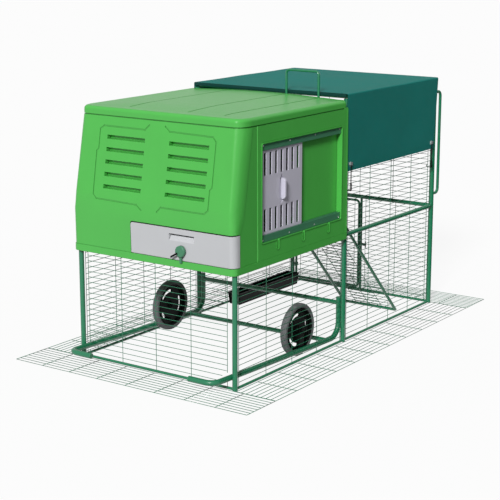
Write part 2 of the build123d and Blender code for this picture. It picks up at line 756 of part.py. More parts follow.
def vent_grip(face_x, y, z):
    """Finger dish to sink into the vent door: its cup, its hollow, and the upright fin in it."""
    floor_x = face_x - DISH_DEEP
    place = Pos(0, y, z)
    cup = place * side_slab(dish_outline(DISH_WALL), (floor_x - DISH_WALL, face_x))
    hollow = place * side_slab(dish_outline(0), (floor_x, face_x + 1))
    half = FIN_TALL / 2
    outer_x = face_x + FIN_PROUD
    fin = block((floor_x - DISH_WALL / 2, outer_x), (y, y + FIN_THICK), (z - half, z + half))
    outer = fin.edges().filter_by(Axis.Y).group_by(Axis.X)[-1]
    return cup, hollow, fillet(outer, FIN_ROUND)


def vent_door():
    """Sliding door with two rows of upright slots and a sunk grip."""
    fore, back, low, high = vent_limits()
    back_x = POCKET_FLOOR_X + VENT_BACK_GAP
    middle_y = (fore + back) / 2
    door = block((back_x, back_x + VENT_THICK), (fore, back), (low, high))
    edge = VENT_ENGAGE + VENT_SLOT_EDGE + VENT_SLOT_TALL / 2
    for step in range(VENT_SLOTS):
        y = middle_y + (step - (VENT_SLOTS - 1) / 2) * VENT_SLOT_PITCH
        for z in (low + edge, high - edge):
            door -= Pos(back_x, y, z) * Box(4 * VENT_THICK, VENT_SLOT_WIDTH, VENT_SLOT_TALL)
    face_x = back_x + VENT_THICK
    uprights = door.edges().filter_by(Axis.Z).group_by(Axis.X)[-1]
    door = fillet([edge for edge in uprights if edge.length < high - low - 1], VENT_SLOT_ROUND)
    cup, hollow, fin = vent_grip(face_x, middle_y, (low + high) / 2)
    return door + cup - hollow + fin


def vent_parts():
    """Sliding vent door, its two rails and their screws."""
    _, _, low, high = vent_limits()
    lower = vent_rail(POCKET_LOW_Z + SEAT, low - VENT_RUN_GAP, POCKET_LOW_Z + 2 * VENT_RAIL_TALL)
    upper_low = POCKET_HIGH_Z - SEAT - VENT_RAIL_TALL
    upper = vent_rail(upper_low, upper_low - VENT_RAIL_TALL, high + VENT_RUN_GAP)
    face_x = POCKET_FLOOR_X + VENT_RAIL_DEEP
    screws = []
    for z in (POCKET_LOW_Z + VENT_RAIL_TALL / 3, POCKET_HIGH_Z - VENT_RAIL_TALL / 3):
        for y in spread(POCKET_FRONT_Y + 2 * SCREW_D, POCKET_REAR_Y - 2 * SCREW_D, SCREWS_PER_RAIL - 1):
            screws.append(rod((face_x, y, z), (face_x + SCREW_PROUD, y, z), SCREW_D))
    return {"vent_door": vent_door(), "vent_lower_rail": lower, "vent_upper_rail": upper,
            "vent_screws": Compound(screws)}


def house_rear():
    """Rear wall with the pop-hole, ladder saddles and two perch cups inside."""
    wall = block((-HOUSE_HALF, HOUSE_HALF), (REAR_WALL_Y - WALL, REAR_WALL_Y), (HOUSE_Z, EAVES_Z))
    wall &= shell_solid(WALL, HOUSE_REAR_Y)
    foot_half = half_width(HOUSE_Z) - WALL
    wall += block((-foot_half, foot_half), (REAR_WALL_Y - WALL, REAR_WALL_Y), (floor_z, HOUSE_Z))
    hole_x = (POP_X - POP_WIDTH / 2, POP_X + POP_WIDTH / 2)
    wall -= block(hole_x, (REAR_WALL_Y - 2 * WALL, REAR_WALL_Y + WALL), (POP_LOW_Z, pop_high_z))
    saddle_low = floor_z + WALL
    groove = LADDER_D + 2 * SEAT
    for sign in (-1, 1):
        x = LADDER_X + sign * (LADDER_SPAN / 2 - SADDLE_INSET)
        width = (x - SADDLE_WIDTH / 2, x + SADDLE_WIDTH / 2)
        saddle = block(width, (REAR_WALL_Y, LADDER_PIVOT_Y + LADDER_D), (saddle_low, LADDER_PIVOT_Z))
        saddle -= block((width[0] - 1, width[1] + 1), (REAR_WALL_Y, LADDER_PIVOT_Y - LADDER_D),
                        (pop_door_low_z - POP_LIP, LADDER_PIVOT_Z + 1))
        seat = [(end, LADDER_PIVOT_Y, LADDER_PIVOT_Z) for end in (width[0] - 1, width[1] + 1)]
        wall += saddle - rod(*seat, groove)
    for x in PERCH_X:
        wall += perch_cup(x, REAR_WALL_Y - WALL - CUP_DEEP, REAR_WALL_Y - WALL / 2)
    return wall


def house_base():
    """Floor tray with a hanging lip round three sides and two drawer runners."""
    low_z = HOUSE_Z - LIP_DROP
    inner_half, inner_fore = LIP_HALF - WALL, LIP_FRONT_Y + WALL
    corner = CORNERS[0]
    inner_corner = drawn_in(corner, WALL)
    outer = extrude(rounded_outline(LIP_HALF, LIP_FRONT_Y, HOUSE_REAR_Y, corner, low_z), LIP_DROP)
    lower = [edge for edge in outer.edges().group_by(Axis.Z)[0] if edge.center().Y < HOUSE_REAR_Y - 1]
    outer = fillet(lower, LIP_ROUND)
    inner = rounded_outline(inner_half, inner_fore, HOUSE_REAR_Y + WALL, inner_corner, low_z - 1)
    floor = rounded_outline(inner_half, inner_fore, HOUSE_REAR_Y, inner_corner, hoop_top_z + SEAT)
    base = outer - extrude(inner, LIP_DROP + 2) + extrude(floor, FLOOR_THICK)
    for x in (TRAY_LEFT_X + RUNNER_INSET, TRAY_RIGHT_X - RUNNER_INSET):
        width = (x - RUNNER_WIDTH / 2, x + RUNNER_WIDTH / 2)
        base += block(width, (inner_fore, TRAY_REAR_Y), (floor_z - 1, HOUSE_Z))
    return base


def roof_crown(z):
    """Shallow dome for the roof's flat top: arched across, and falling away to the front."""
    margin = CORNERS[-1][0]
    half = EAVES_HALF - margin
    fore = EAVES_FRONT_Y + margin
    top = z + ROOF_CROWN
    arch = ThreePointArc((-half, z), (0, top), (half, z)) + Line((half, z), (-half, z))
    across = extrude(across_plane(fore) * make_face(arch), ROOF_REAR_Y - fore, dir=(0, 1, 0))
    level = fore + ROOF_FALL
    fall = ThreePointArc((fore, z), (fore + ROOF_FALL / 2, z + 0.75 * ROOF_CROWN), (level, top))
    fall += Polyline((level, top), (ROOF_REAR_Y, top), (ROOF_REAR_Y, z), (fore, z))
    return across & side_slab(make_face(fall), (-half, half))


def roof_plan(inset):
    """Roof's outline at the eaves, drawn in by a wall where asked."""
    corner = drawn_in(CORNERS[-1], inset)
    return rounded_outline(EAVES_HALF - inset, EAVES_FRONT_Y + inset, ROOF_REAR_Y - inset, corner, EAVES_Z)


def roof_form(inset):
    """Roof as a solid: domed top, upright rear, rounded along its other edges."""
    rise = ROOF_RISE - inset
    fore = EAVES_FRONT_Y + inset
    back = ROOF_REAR_Y - inset
    form = extrude(roof_plan(inset), rise)
    rounded = [edge for edge in form.edges().group_by(Axis.Z)[-1] if edge.center().Y < back - 1]
    form = fillet(rounded, ROOF_EDGE - inset)
    room = block((-EAVES_HALF, EAVES_HALF), (fore, back), (EAVES_Z, HEIGHT))
    return form + (roof_crown(EAVES_Z + rise) & room)


def house_roof():
    """Moulded lid with long creases and an inner flange that rests on the walls."""
    outside = roof_form(0)
    roof = outside - roof_form(WALL)
    roof += extrude(roof_plan(0), WALL) - extrude(roof_plan(EAVES_BAND), WALL)
    lowered = Pos(0, 0, -CREASE_DEPTH) * outside
    length = (EAVES_FRONT_Y + CREASE_INSET, ROOF_REAR_Y + 1)
    for x in CREASE_X:
        width = (x - CREASE_WIDTH / 2, x + CREASE_WIDTH / 2)
        roof -= block(width, length, (EAVES_Z + ROOF_RISE / 2, HEIGHT)) - lowered
    return roof


def egg_drawer(fascia_skin):
    """Nest drawer: fascia that follows the house, finger scoop and open tray."""
    fascia = fascia_skin & drawer_zone(HOUSE_Z + DRAWER_GAP, 0, 0)
    front = front_y_at(tray_low_z + TRAY_WALL) + WALL / 2
    outer = block((TRAY_LEFT_X, TRAY_RIGHT_X), (front, TRAY_REAR_Y), (tray_low_z, TRAY_TOP_Z))
    inner_x = (TRAY_LEFT_X + TRAY_WALL, TRAY_RIGHT_X - TRAY_WALL)
    inner_y = (front + TRAY_WALL, TRAY_REAR_Y - TRAY_WALL)
    inner = block(inner_x, inner_y, (tray_low_z + TRAY_WALL, TRAY_TOP_Z + 1))
    low = PULL_Z - PULL_TALL
    face = front_y_at(PULL_Z)
    half = PULL_WIDTH / 2
    deep, lean, slot_z = face + PULL_DEPTH, face + PULL_LEAN, PULL_Z - PULL_SLOT
    outline = ((face - WALL, low), (face - WALL, PULL_Z), (deep, PULL_Z), (deep, slot_z), (lean, slot_z))
    scoop = side_prism(outline, (PULL_X - half, PULL_X + half))
    back, top, floor = face + WALL / 2, PULL_Z + TRAY_WALL, slot_z - TRAY_WALL
    deep, lean = deep + TRAY_WALL, lean + TRAY_WALL
    outline = ((back, low - TRAY_WALL), (back, top), (deep, top), (deep, floor), (lean, floor))
    hood = side_prism(outline, (PULL_X - half - TRAY_WALL, PULL_X + half + TRAY_WALL))
    drawer = fascia + (outer - inner) + hood - scoop
    bore = SPINDLE_D + 2 * SPINDLE_FIT
    return drawer - rod((PULL_X, 2 * HOUSE_FRONT_Y, KNOB_Z), (PULL_X, front + 2 * TRAY_WALL, KNOB_Z), bore)


def drawer_catch():
    """Turning knob with its tongue, and the lever on its face."""
    back = front_y_at(KNOB_Z) - KNOB_GAP
    fore = back - KNOB_THICK
    knob = rod((PULL_X, back, KNOB_Z), (PULL_X, fore, KNOB_Z), KNOB_D)
    knob = chamfer(knob.edges().group_by(Axis.Y)[0], KNOB_THICK / 5)
    knob += rod((PULL_X, back, KNOB_Z), (PULL_X, back + KNOB_GAP + 2 * WALL, KNOB_Z), SPINDLE_D)
    knob += block((PULL_X - TONGUE_WIDTH / 2, PULL_X + TONGUE_WIDTH / 2), (back - KNOB_THICK / 2, back),
                  (KNOB_Z - TONGUE_REACH, KNOB_Z))
    arm = SlotOverall(LEVER_REACH, LEVER_WIDTH)
    arm = Pos(-LEVER_REACH / 2 + LEVER_WIDTH, 0) * arm
    arm = across_plane(fore) * (Pos(PULL_X, KNOB_Z) * (Rot(0, 0, LEVER_SLOPE) * arm))
    lever = extrude(arm, LEVER_THICK, dir=(0, -1, 0))
    return knob, lever


def pop_door_parts():
    """Lifting door, its two guides and the U handle that rises through the roof."""
    half = POP_WIDTH / 2 + POP_OVERLAP
    thick = (POP_DOOR_Y - POP_DOOR_THICK / 2, POP_DOOR_Y + POP_DOOR_THICK / 2)
    door = block((POP_X - half, POP_X + half), thick, (pop_door_low_z, pop_door_high_z))
    rods_low = pop_door_high_z - BOSS_TALL + 2
    for sign in (-1, 1):
        x = POP_X + sign * ROD_SPAN / 2
        boss_z = (pop_door_high_z - BOSS_TALL, pop_door_high_z + 2)
        door += rod((x, POP_DOOR_Y, boss_z[0]), (x, POP_DOOR_Y, boss_z[1]), BOSS_D)
        door -= rod((x, POP_DOOR_Y, rods_low), (x, POP_DOOR_Y, HEIGHT), ROD_D + 2 * WELD)
    top_z = HEIGHT - ROD_D / 2
    foot_z = rods_low + SEAT
    left, right = POP_X - ROD_SPAN / 2, POP_X + ROD_SPAN / 2
    corners = ((left, POP_DOOR_Y, foot_z), (left, POP_DOOR_Y, top_z),
               (right, POP_DOOR_Y, top_z), (right, POP_DOOR_Y, foot_z))
    guides = []
    for sign in (-1, 1):
        inner_x = POP_X + sign * (POP_WIDTH / 2 + 2)
        outer_x = inner_x + sign * GUIDE_WIDTH
        guide_y = (REAR_WALL_Y, REAR_WALL_Y + GUIDE_DEEP)
        guide = block((inner_x, outer_x), guide_y, (floor_z, EAVES_Z - SEAT))
        groove_x = (inner_x - sign, POP_X + sign * (half + GUIDE_FIT))
        groove_y = (thick[0] - GUIDE_FIT, thick[1] + GUIDE_FIT)
        guides.append(guide - block(groove_x, groove_y, (pop_door_low_z - SEAT, EAVES_Z)))
    handle = bent_rod(corners, ROD_D, ROD_BEND)
    return {"pop_door": door, "lift_handle": handle, "pop_door_guides": Compound(guides)}


def perch_bars():
    """Two roosting bars from the front panel to the rear wall."""
    fore = front_y_at(PERCH_Z) + 2 * WALL
    back = REAR_WALL_Y - WALL - SEAT
    return Compound([rod((x, fore, PERCH_Z), (x, back, PERCH_Z), PERCH_D) for x in PERCH_X])


def ladder():
    """Ramp of bent tube and welded wire that hangs on the rear wall's saddles."""
    left, right = LADDER_X - LADDER_SPAN / 2, LADDER_X + LADDER_SPAN / 2
    level_y = LADDER_PIVOT_Y + LADDER_LEVEL
    foot = (LADDER_FOOT_Y, LADDER_FOOT_Z)
    points = ((left, *foot), (left, level_y, LADDER_PIVOT_Z), (left, LADDER_PIVOT_Y, LADDER_PIVOT_Z),
              (right, LADDER_PIVOT_Y, LADDER_PIVOT_Z), (right, level_y, LADDER_PIVOT_Z), (right, *foot))
    frame = bent_rod(points, LADDER_D, LADDER_BEND)
    frame += rod((left, *foot), (right, *foot), LADDER_D)
    slope = Vector(0, level_y - LADDER_FOOT_Y, LADDER_PIVOT_Z - LADDER_FOOT_Z)
    plane = Plane(origin=(LADDER_X, *foot), x_dir=(1, 0, 0), z_dir=Vector(1, 0, 0).cross(slope))
    columns = spread(-LADDER_SPAN / 2, LADDER_SPAN / 2, LADDER_COLUMNS)
    return frame + wire_net(columns, spread(0, slope.length - LADDER_BEND, LADDER_ROWS), plane)


def run_door():
    """Framed wire door in the rear wall's left half."""
    middle = (door_left_x + door_right_x) / 2
    corners = ((middle, rear_y, DOOR_LOW_Z), (door_right_x, rear_y, DOOR_LOW_Z),
               (door_right_x, rear_y, DOOR_HIGH_Z), (door_left_x, rear_y, DOOR_HIGH_Z),
               (door_left_x, rear_y, DOOR_LOW_Z))
    frame = bent_rod(corners, EDGE_D, (0, DOOR_BEND, DOOR_BEND, DOOR_BEND, DOOR_BEND), close=True)
    columns = spread(door_left_x + NET_MARGIN, door_right_x - NET_MARGIN, NET_COLUMNS // 2)
    return frame + wire_net(columns, spread(DOOR_LOW_Z, DOOR_HIGH_Z, NET_LOW_ROWS), across_plane(rear_y))


def run_door_hinges():
    """Two eyes welded to the rear left post that the door's stile turns in."""
    eyes = []
    for z in EYE_Z:
        low, high = z - EYE_TALL / 2, z + EYE_TALL / 2
        eye = rod((door_left_x, rear_y, low), (door_left_x, rear_y, high), EYE_D)
        eye += block((-post_x, door_left_x), (rear_y - EDGE_D / 2, rear_y + EDGE_D / 2), (low, high))
        eye -= rod((door_left_x, rear_y, low - 1), (door_left_x, rear_y, high + 1), EDGE_D + 2 * EYE_FIT)
        eyes.append(eye - grown_post(-post_x, rear_y))
    return Compound(eyes)


def latch_y():
    """Near and far face of the door latch."""
    near = rear_y + EDGE_D / 2 + SEAT
    return near, near + LATCH_THICK


def run_door_latch():
    """Turning tongue on the door post, swung clear of the door, with a thumb tab at its end."""
    near, far = latch_y()
    reach = LATCH_LENGTH - LATCH_TALL
    outline = Pos(DOOR_POST_X + reach / 2, LATCH_Z) * SlotOverall(LATCH_LENGTH, LATCH_TALL)
    outline += Pos(DOOR_POST_X + reach, LATCH_Z) * SlotOverall(LATCH_TAB, LATCH_TALL / 2, rotation=90)
    tongue = extrude(across_plane(far) * outline, LATCH_THICK, dir=(0, -1, 0))
    bore = LATCH_PIN_D + 2 * EYE_FIT
    return tongue - rod((DOOR_POST_X, near - 1, LATCH_Z), (DOOR_POST_X, far + 1, LATCH_Z), bore)


def feed_trough():
    """Tapered trough that hangs by two hooks on a wire of the left wall."""
    wire_z = edge_z + low_pitch
    top_z = wire_z + WIRE_D / 2 + SEAT + TROUGH_WALL
    low_z = top_z - TROUGH_TALL
    back_x = -post_x + WIRE_D / 2 + SEAT
    centre = (back_x + TROUGH_RIM + TROUGH_WIDTH / 2, TROUGH_FRONT_Y + TROUGH_LENGTH / 2)

    def level(z, grow):
        return Pos(*centre, z) * Rectangle(TROUGH_WIDTH + 2 * grow, TROUGH_LENGTH + 2 * grow)

    outer = loft([level(low_z, -TROUGH_TAPER), level(top_z, 0)])
    inner = loft([level(low_z + TROUGH_WALL, -TROUGH_TAPER - TROUGH_WALL),
                  level(top_z + TROUGH_WALL, -TROUGH_WALL)])
    rim = extrude(level(top_z - TROUGH_WALL, TROUGH_RIM), TROUGH_WALL)
    trough = outer + rim - inner
    hook_x = -post_x - WIRE_D / 2 - SEAT
    for y in (TROUGH_FRONT_Y + TROUGH_HOOK_INSET, TROUGH_FRONT_Y + TROUGH_LENGTH - TROUGH_HOOK_INSET):
        width = (y - TROUGH_HOOK / 2, y + TROUGH_HOOK / 2)
        trough += block((hook_x - TROUGH_WALL, back_x + TROUGH_RIM), width, (top_z - TROUGH_WALL, top_z))
        trough += block((hook_x - TROUGH_WALL, hook_x), width, (wire_z - 2 * WIRE_D, top_z))
    return trough


def skid_points(sign):
    """Corners of a skid: turned-in front end, long run, upright beside the mid post."""
    x = sign * skid_x
    end_x = sign * (skid_x - SKID_TURN_IN)
    return ((end_x, SKID_FRONT_Y, SKID_FRONT_Z), (x, SKID_FRONT_Y, SKID_FRONT_Z),
            (x, MID_POST_Y, SKID_REAR_Z), (x, MID_POST_Y, SKID_TOP_Z))


def skid_z(y):
    """Height of a skid's long run at a place along it."""
    share = (y - SKID_FRONT_Y) / (MID_POST_Y - SKID_FRONT_Y)
    return SKID_FRONT_Z + (SKID_REAR_Z - SKID_FRONT_Z) * share


def skid(sign):
    """Bent tube that the wheels and cross tubes are fixed to."""
    return bent_rod(skid_points(sign), SKID_D, (SKID_FRONT_BEND, SKID_REAR_BEND))


def skid_plugs():
    """Domed plugs in the skids' front ends and upright tops."""
    plugs = []
    for sign in (-1, 1):
        front, _, _, top = skid_points(sign)
        inward = (front[0] - sign * PLUG_LENGTH, front[1], front[2])
        plugs.append(rod(front, inward, SKID_D))
        plugs.append(rod(top, (top[0], top[1], top[2] + PLUG_LENGTH), SKID_D))
    plugs = [chamfer(plug.edges(), PLUG_LENGTH / 3) for plug in plugs]
    return Compound(plugs)


def cross_tubes(skids):
    """Two tubes that tie the skids together."""
    upper = rod((-skid_x, MID_POST_Y, UPPER_CROSS_Z), (skid_x, MID_POST_Y, UPPER_CROSS_Z), CROSS_D)
    low_z = skid_z(LOWER_CROSS_Y)
    lower = rod((-skid_x, LOWER_CROSS_Y, low_z), (skid_x, LOWER_CROSS_Y, low_z), CROSS_D)
    for side in skids:
        upper -= side
        lower -= side
    return upper, lower


def wheel(sign):
    """Tyre and slotted hub of one wheel."""
    radius = WHEEL_D / 2
    rim = radius - TYRE_DEEP
    place = Pos(sign * wheel_x, WHEEL_Y, wheel_z) * Rot(0, 90, 0)
    band = Pos(radius - TYRE_DEEP / 2, 0) * RectangleRounded(TYRE_DEEP, WHEEL_WIDTH, TYRE_ROUND)
    tyre = place * revolve(Plane.XZ * band, Axis.Z)
    half = WHEEL_WIDTH / 2 - TYRE_ROUND / 2
    disc = DISC_THICK / 2
    bore = AXLE_D / 2 + AXLE_FIT
    boss = HUB_D / 2
    seat = rim - WELD
    band = rim - RIM_THICK
    profile = Polyline((bore, -half), (boss, -half), (boss, -disc), (band, -disc), (band, -half),
                       (seat, -half), (seat, half), (band, half), (band, disc), (boss, disc),
                       (boss, half), (bore, half), close=True)
    hub = revolve(Plane.XZ * make_face(profile), Axis.Z)
    for step in range(HUB_SLOTS):
        turn = HUB_SLOT_ANGLE - HUB_SLOT_SWEEP / 2 + step * 360 / HUB_SLOTS
        slot = SlotArc(CenterArc((0, 0), HUB_SLOT_RADIUS, turn, HUB_SLOT_SWEEP), HUB_SLOT_WIDTH)
        hub -= extrude(slot, DISC_THICK, both=True)
    return tyre, place * hub


def wheel_fixings(skids):
    """Upright lugs on the skids, and the bolts that the wheels turn on."""
    lugs = []
    bolts = []
    inner = wheel_x + WHEEL_WIDTH / 2 + WHEEL_SIDE_GAP + SEAT
    nut = wheel_x - WHEEL_WIDTH / 2 + TYRE_ROUND / 2 - SEAT
    for sign, side in zip((-1, 1), skids):
        low_z = skid_z(WHEEL_Y)
        outline = Pos(WHEEL_Y, (wheel_z + low_z) / 2) * Rectangle(LUG_WIDTH, wheel_z - low_z)
        outline += Pos(WHEEL_Y, wheel_z) * Circle(LUG_WIDTH / 2)
        lug = extrude(Pos(sign * inner, 0, 0) * (Plane.YZ * outline), LUG_THICK, dir=(sign, 0, 0))
        lug -= side
        lug -= rod((0, WHEEL_Y, wheel_z), (sign * FOOT_WIDTH, WHEEL_Y, wheel_z), AXLE_D + 2 * WELD)
        lugs.append(lug)
        near, far = nut - BOLT_HEAD_TALL, inner + LUG_THICK
        bolt = rod((sign * near, WHEEL_Y, wheel_z), (sign * (far + BOLT_HEAD_TALL), WHEEL_Y, wheel_z), AXLE_D)
        head = Rot(0, 90, 0) * extrude(RegularPolygon(BOLT_HEAD_D / 2, 6), sign * BOLT_HEAD_TALL)
        for start in (near, far):
            bolt += Pos(sign * start, WHEEL_Y, wheel_z) * head
        bolts.append(bolt)
    return Compound(lugs), Compound(bolts)


def tie_places():
    """Side and Y of each of the cover's four ties."""
    return [(sign, y) for sign in (-1, 1) for y in (TIE_FRONT_Y, TIE_REAR_Y)]


def run_cover():
    """Cloth over the run's top with a flap down each side, drawn in at the rear."""
    back = rear_y + RAIL_D / 2
    outer_x = flap_x + CLOTH
    top = cover_top_z + CLOTH
    tall = top - COVER_HEM_Z
    outline = Pos(0, COVER_HEM_Z + tall / 2) * Rectangle(2 * outer_x, tall)
    outline = fillet(outline.vertices().group_by(Axis.Y)[-1], COVER_EDGE)
    inside = Pos(0, COVER_HEM_Z + tall / 2 - CLOTH) * Rectangle(2 * flap_x, tall)
    inside = fillet(inside.vertices().group_by(Axis.Y)[-1], COVER_EDGE - CLOTH)
    cloth = extrude(across_plane(COVER_FRONT_Y) * (outline - inside), back - COVER_FRONT_Y, dir=(0, 1, 0))
    low = COVER_HEM_Z - 1
    tuck = ((back, cover_top_z - COVER_EDGE), (back - COVER_TUCK, low), (back + 1, low))
    cloth -= side_prism(tuck, (-2 * outer_x, 2 * outer_x))
    drop_y = MID_POST_Y - RAIL_D / 2 - SEAT
    width = (COVER_EDGE - flap_x, flap_x - COVER_EDGE)
    cloth += block(width, (drop_y - CLOTH, COVER_FRONT_Y + CLOTH), (cover_top_z, top))
    cloth += block(width, (drop_y - CLOTH, drop_y), (cover_top_z - COVER_DROP, top))
    bore = GROMMET_D + 2 * WELD
    for sign, y in tie_places():
        cloth -= rod((sign * (flap_x - CLOTH), y, TIE_Z), (sign * (outer_x + CLOTH), y, TIE_Z), bore)
    return cloth


def cover_ties():
    """Grommets, clips, cords and hooks that tie the flaps down to the wire walls."""
    grommets, clips, cords, hooks = [], [], [], []
    middle = flap_x + CLOTH / 2
    reach = CLIP_TALL + CORD_LENGTH + 2 * HOOK_BODY_TALL
    wire_z = RAIL_Z + round((TIE_Z - reach - RAIL_Z) / high_pitch) * high_pitch
    for sign, y in tie_places():
        near, far = middle - GROMMET_THICK / 2, middle + GROMMET_THICK / 2
        ring = rod((sign * near, y, TIE_Z), (sign * far, y, TIE_Z), GROMMET_D)
        grommets.append(ring - rod((sign * (near - 1), y, TIE_Z), (sign * (far + 1), y, TIE_Z), GROMMET_BORE))
        clip_x = far + SEAT + CLIP_DEEP / 2
        clip_low = TIE_Z + GROMMET_BORE - CLIP_TALL
        clip = Pos(sign * clip_x, y, clip_low + CLIP_TALL / 2) * Box(CLIP_DEEP, CLIP_WIDTH, CLIP_TALL)
        clip = fillet(clip.edges().filter_by(Axis.X), CLIP_WIDTH / 4)
        clips.append(clip + rod((sign * near, y, TIE_Z), (sign * clip_x, y, TIE_Z), GROMMET_BORE - 2 * WELD))
        cord_low = clip_low - CORD_LENGTH
        cords.append(rod((sign * clip_x, y, clip_low), (sign * clip_x, y, cord_low), CORD_D))
        body_low = cord_low - HOOK_BODY_TALL
        body = Box(CLIP_DEEP, HOOK_BODY_WIDTH, HOOK_BODY_TALL)
        body = Pos(sign * clip_x, y, cord_low - HOOK_BODY_TALL / 2) * body
        body = fillet(body.edges().filter_by(Axis.X), HOOK_BODY_WIDTH / 4)
        under = wire_z - WIRE_D / 2 - SEAT - HOOK_WIRE_D / 2
        tip_x = post_x - 2 * HOOK_WIRE_D
        path = ((sign * clip_x, y, body_low + HOOK_WIRE_D), (sign * clip_x, y, under),
                (sign * tip_x, y, under),
                (sign * tip_x, y, wire_z + 2 * HOOK_WIRE_D))
        hooks.append(body + bent_rod(path, HOOK_WIRE_D, HOOK_WIRE_D))
    return {"cover_grommets": Compound(grommets), "cover_clips": Compound(clips),
            "cover_cords": Compound(cords),
            "cover_hooks": Compound(hooks)}


def build():
    """Every piece of the coop, by name."""
    parts = frame_posts()
    parts["house_support_hoop"] = flat_hoop(support_rear_y, front_y, RAIL_Z)
    parts["run_top_hoop"] = flat_hoop(rear_y, MID_POST_Y, TOP_RAIL_Z)
    parts["left_grab_handle"] = grab_handle(-1)
    parts["right_grab_handle"] = grab_handle(1)
    parts["front_net"] = front_net()
    parts["left_front_net"] = side_front_net(-1)
    parts["right_front_net"] = side_front_net(1)
    parts["left_run_net"] = side_run_net(-1)
    parts["right_run_net"] = side_run_net(1)
    parts["rear_net"] = rear_net()
    parts["run_top_net"] = run_top_net()
    parts.update(skirts())
    front, left, right = house_walls()
    parts["house_base"] = house_base()
    parts["house_front"] = house_front(front)
    parts["house_left"] = left
    parts["house_right"] = house_right(right)
    parts["house_rear"] = house_rear()
    parts["house_roof"] = house_roof()
    parts["egg_drawer"] = egg_drawer(front)
    parts["drawer_knob"], parts["drawer_lever"] = drawer_catch()
    parts.update(vent_parts())
    parts.update(pop_door_parts())
    parts["perch_bars"] = perch_bars()
    parts["ladder"] = ladder()
    parts["run_door"] = run_door()
    parts["run_door_hinges"] = run_door_hinges()
    parts["run_door_latch"] = run_door_latch()
    parts["feed_trough"] = feed_trough()
    skids = skid(-1), skid(1)
    parts["left_skid"], parts["right_skid"] = skids
    parts["skid_plugs"] = skid_plugs()
    parts["upper_cross_tube"], parts["lower_cross_tube"] = cross_tubes(skids)
    parts["left_tyre"], parts["left_hub"] = wheel(-1)
    parts["right_tyre"], parts["right_hub"] = wheel(1)
    parts["wheel_lugs"], parts["axle_bolts"] = wheel_fixings(skids)
    parts["run_cover"] = run_cover()
    parts.update(cover_ties())
    return parts


os.makedirs("parts", exist_ok=True)
for name, shape in build().items():
    export_step(shape, f"parts/{name}.step")
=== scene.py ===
"""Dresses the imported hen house: wire, tube, mouldings, cloth and finishes on the fixed frame."""

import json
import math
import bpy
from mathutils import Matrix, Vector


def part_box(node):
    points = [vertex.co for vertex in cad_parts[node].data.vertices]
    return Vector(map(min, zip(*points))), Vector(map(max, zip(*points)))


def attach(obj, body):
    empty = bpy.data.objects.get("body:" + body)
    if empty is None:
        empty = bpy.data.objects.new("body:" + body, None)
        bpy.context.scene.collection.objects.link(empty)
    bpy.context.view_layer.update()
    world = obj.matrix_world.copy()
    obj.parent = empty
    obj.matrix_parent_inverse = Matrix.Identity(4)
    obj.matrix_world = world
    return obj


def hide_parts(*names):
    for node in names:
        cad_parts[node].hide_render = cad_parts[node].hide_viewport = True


bl_info = {
    "name": "Hen House Dressing",
    "version": (1, 0, 0),
    "blender": (4, 5, 0),
    "location": "3D View > Sidebar > Hen House",
    "description": "Builds the visible pieces and finishes of a raised hen house with a wire run",
    "category": "Object",
}

import bmesh
import bpy
from bpy.props import FloatProperty, FloatVectorProperty, IntProperty, PointerProperty
from mathutils import Quaternion, Vector

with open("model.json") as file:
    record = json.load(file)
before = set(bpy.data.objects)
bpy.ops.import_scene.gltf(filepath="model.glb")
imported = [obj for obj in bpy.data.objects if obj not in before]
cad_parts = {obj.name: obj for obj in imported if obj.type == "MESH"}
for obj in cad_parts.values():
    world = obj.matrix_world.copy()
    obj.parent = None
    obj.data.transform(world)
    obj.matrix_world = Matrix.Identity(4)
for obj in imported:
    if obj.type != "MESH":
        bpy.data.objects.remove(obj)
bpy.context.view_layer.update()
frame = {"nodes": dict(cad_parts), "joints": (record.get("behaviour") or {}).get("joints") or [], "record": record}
JOINTS = {joint["name"]: joint for joint in frame["joints"]}
UP = Vector((0, 0, 1))
RIGHT = Vector((1, 0, 0))
REARWARD = Vector((0, 1, 0))
SIDES = ("left", "right")

# Core of turned pieces and slack of comparisons, in metres
HAIR = 0.0001
# Corners that stay hard, moulded edges that are rounded and faces that count as one, in degrees
HARD_CORNER = 38.0
MOULDED_EDGE = 32.0
FLAT_FACE = 0.05
# Points nearer than this are one point, in metres
SAME_POINT = 1e-6
# How far a net's level wires lie off its upright ones, and how far wires run past each other, in wires
NET_LIFT = 0.85
NET_OVER = 0.6
# Reach of the painted shade in the creases of mouldings, in metres, and the share of the colour left there
CREASE_SHADE_REACH = 0.005
CREASE_SHADE_SHARE = 0.05


def setting(kind, **fixed):
    """A maker of sidebar values of one kind, each from its name, default and description."""

    def make(name, default, description):
        return kind(name=name, default=default, description=description, **fixed)

    return make


length = setting(FloatProperty, unit="LENGTH", subtype="DISTANCE")
share_of = setting(FloatProperty, subtype="FACTOR")
number = setting(IntProperty, subtype="UNSIGNED")
colour = setting(FloatVectorProperty, subtype="COLOR", size=3, min=0, max=1)


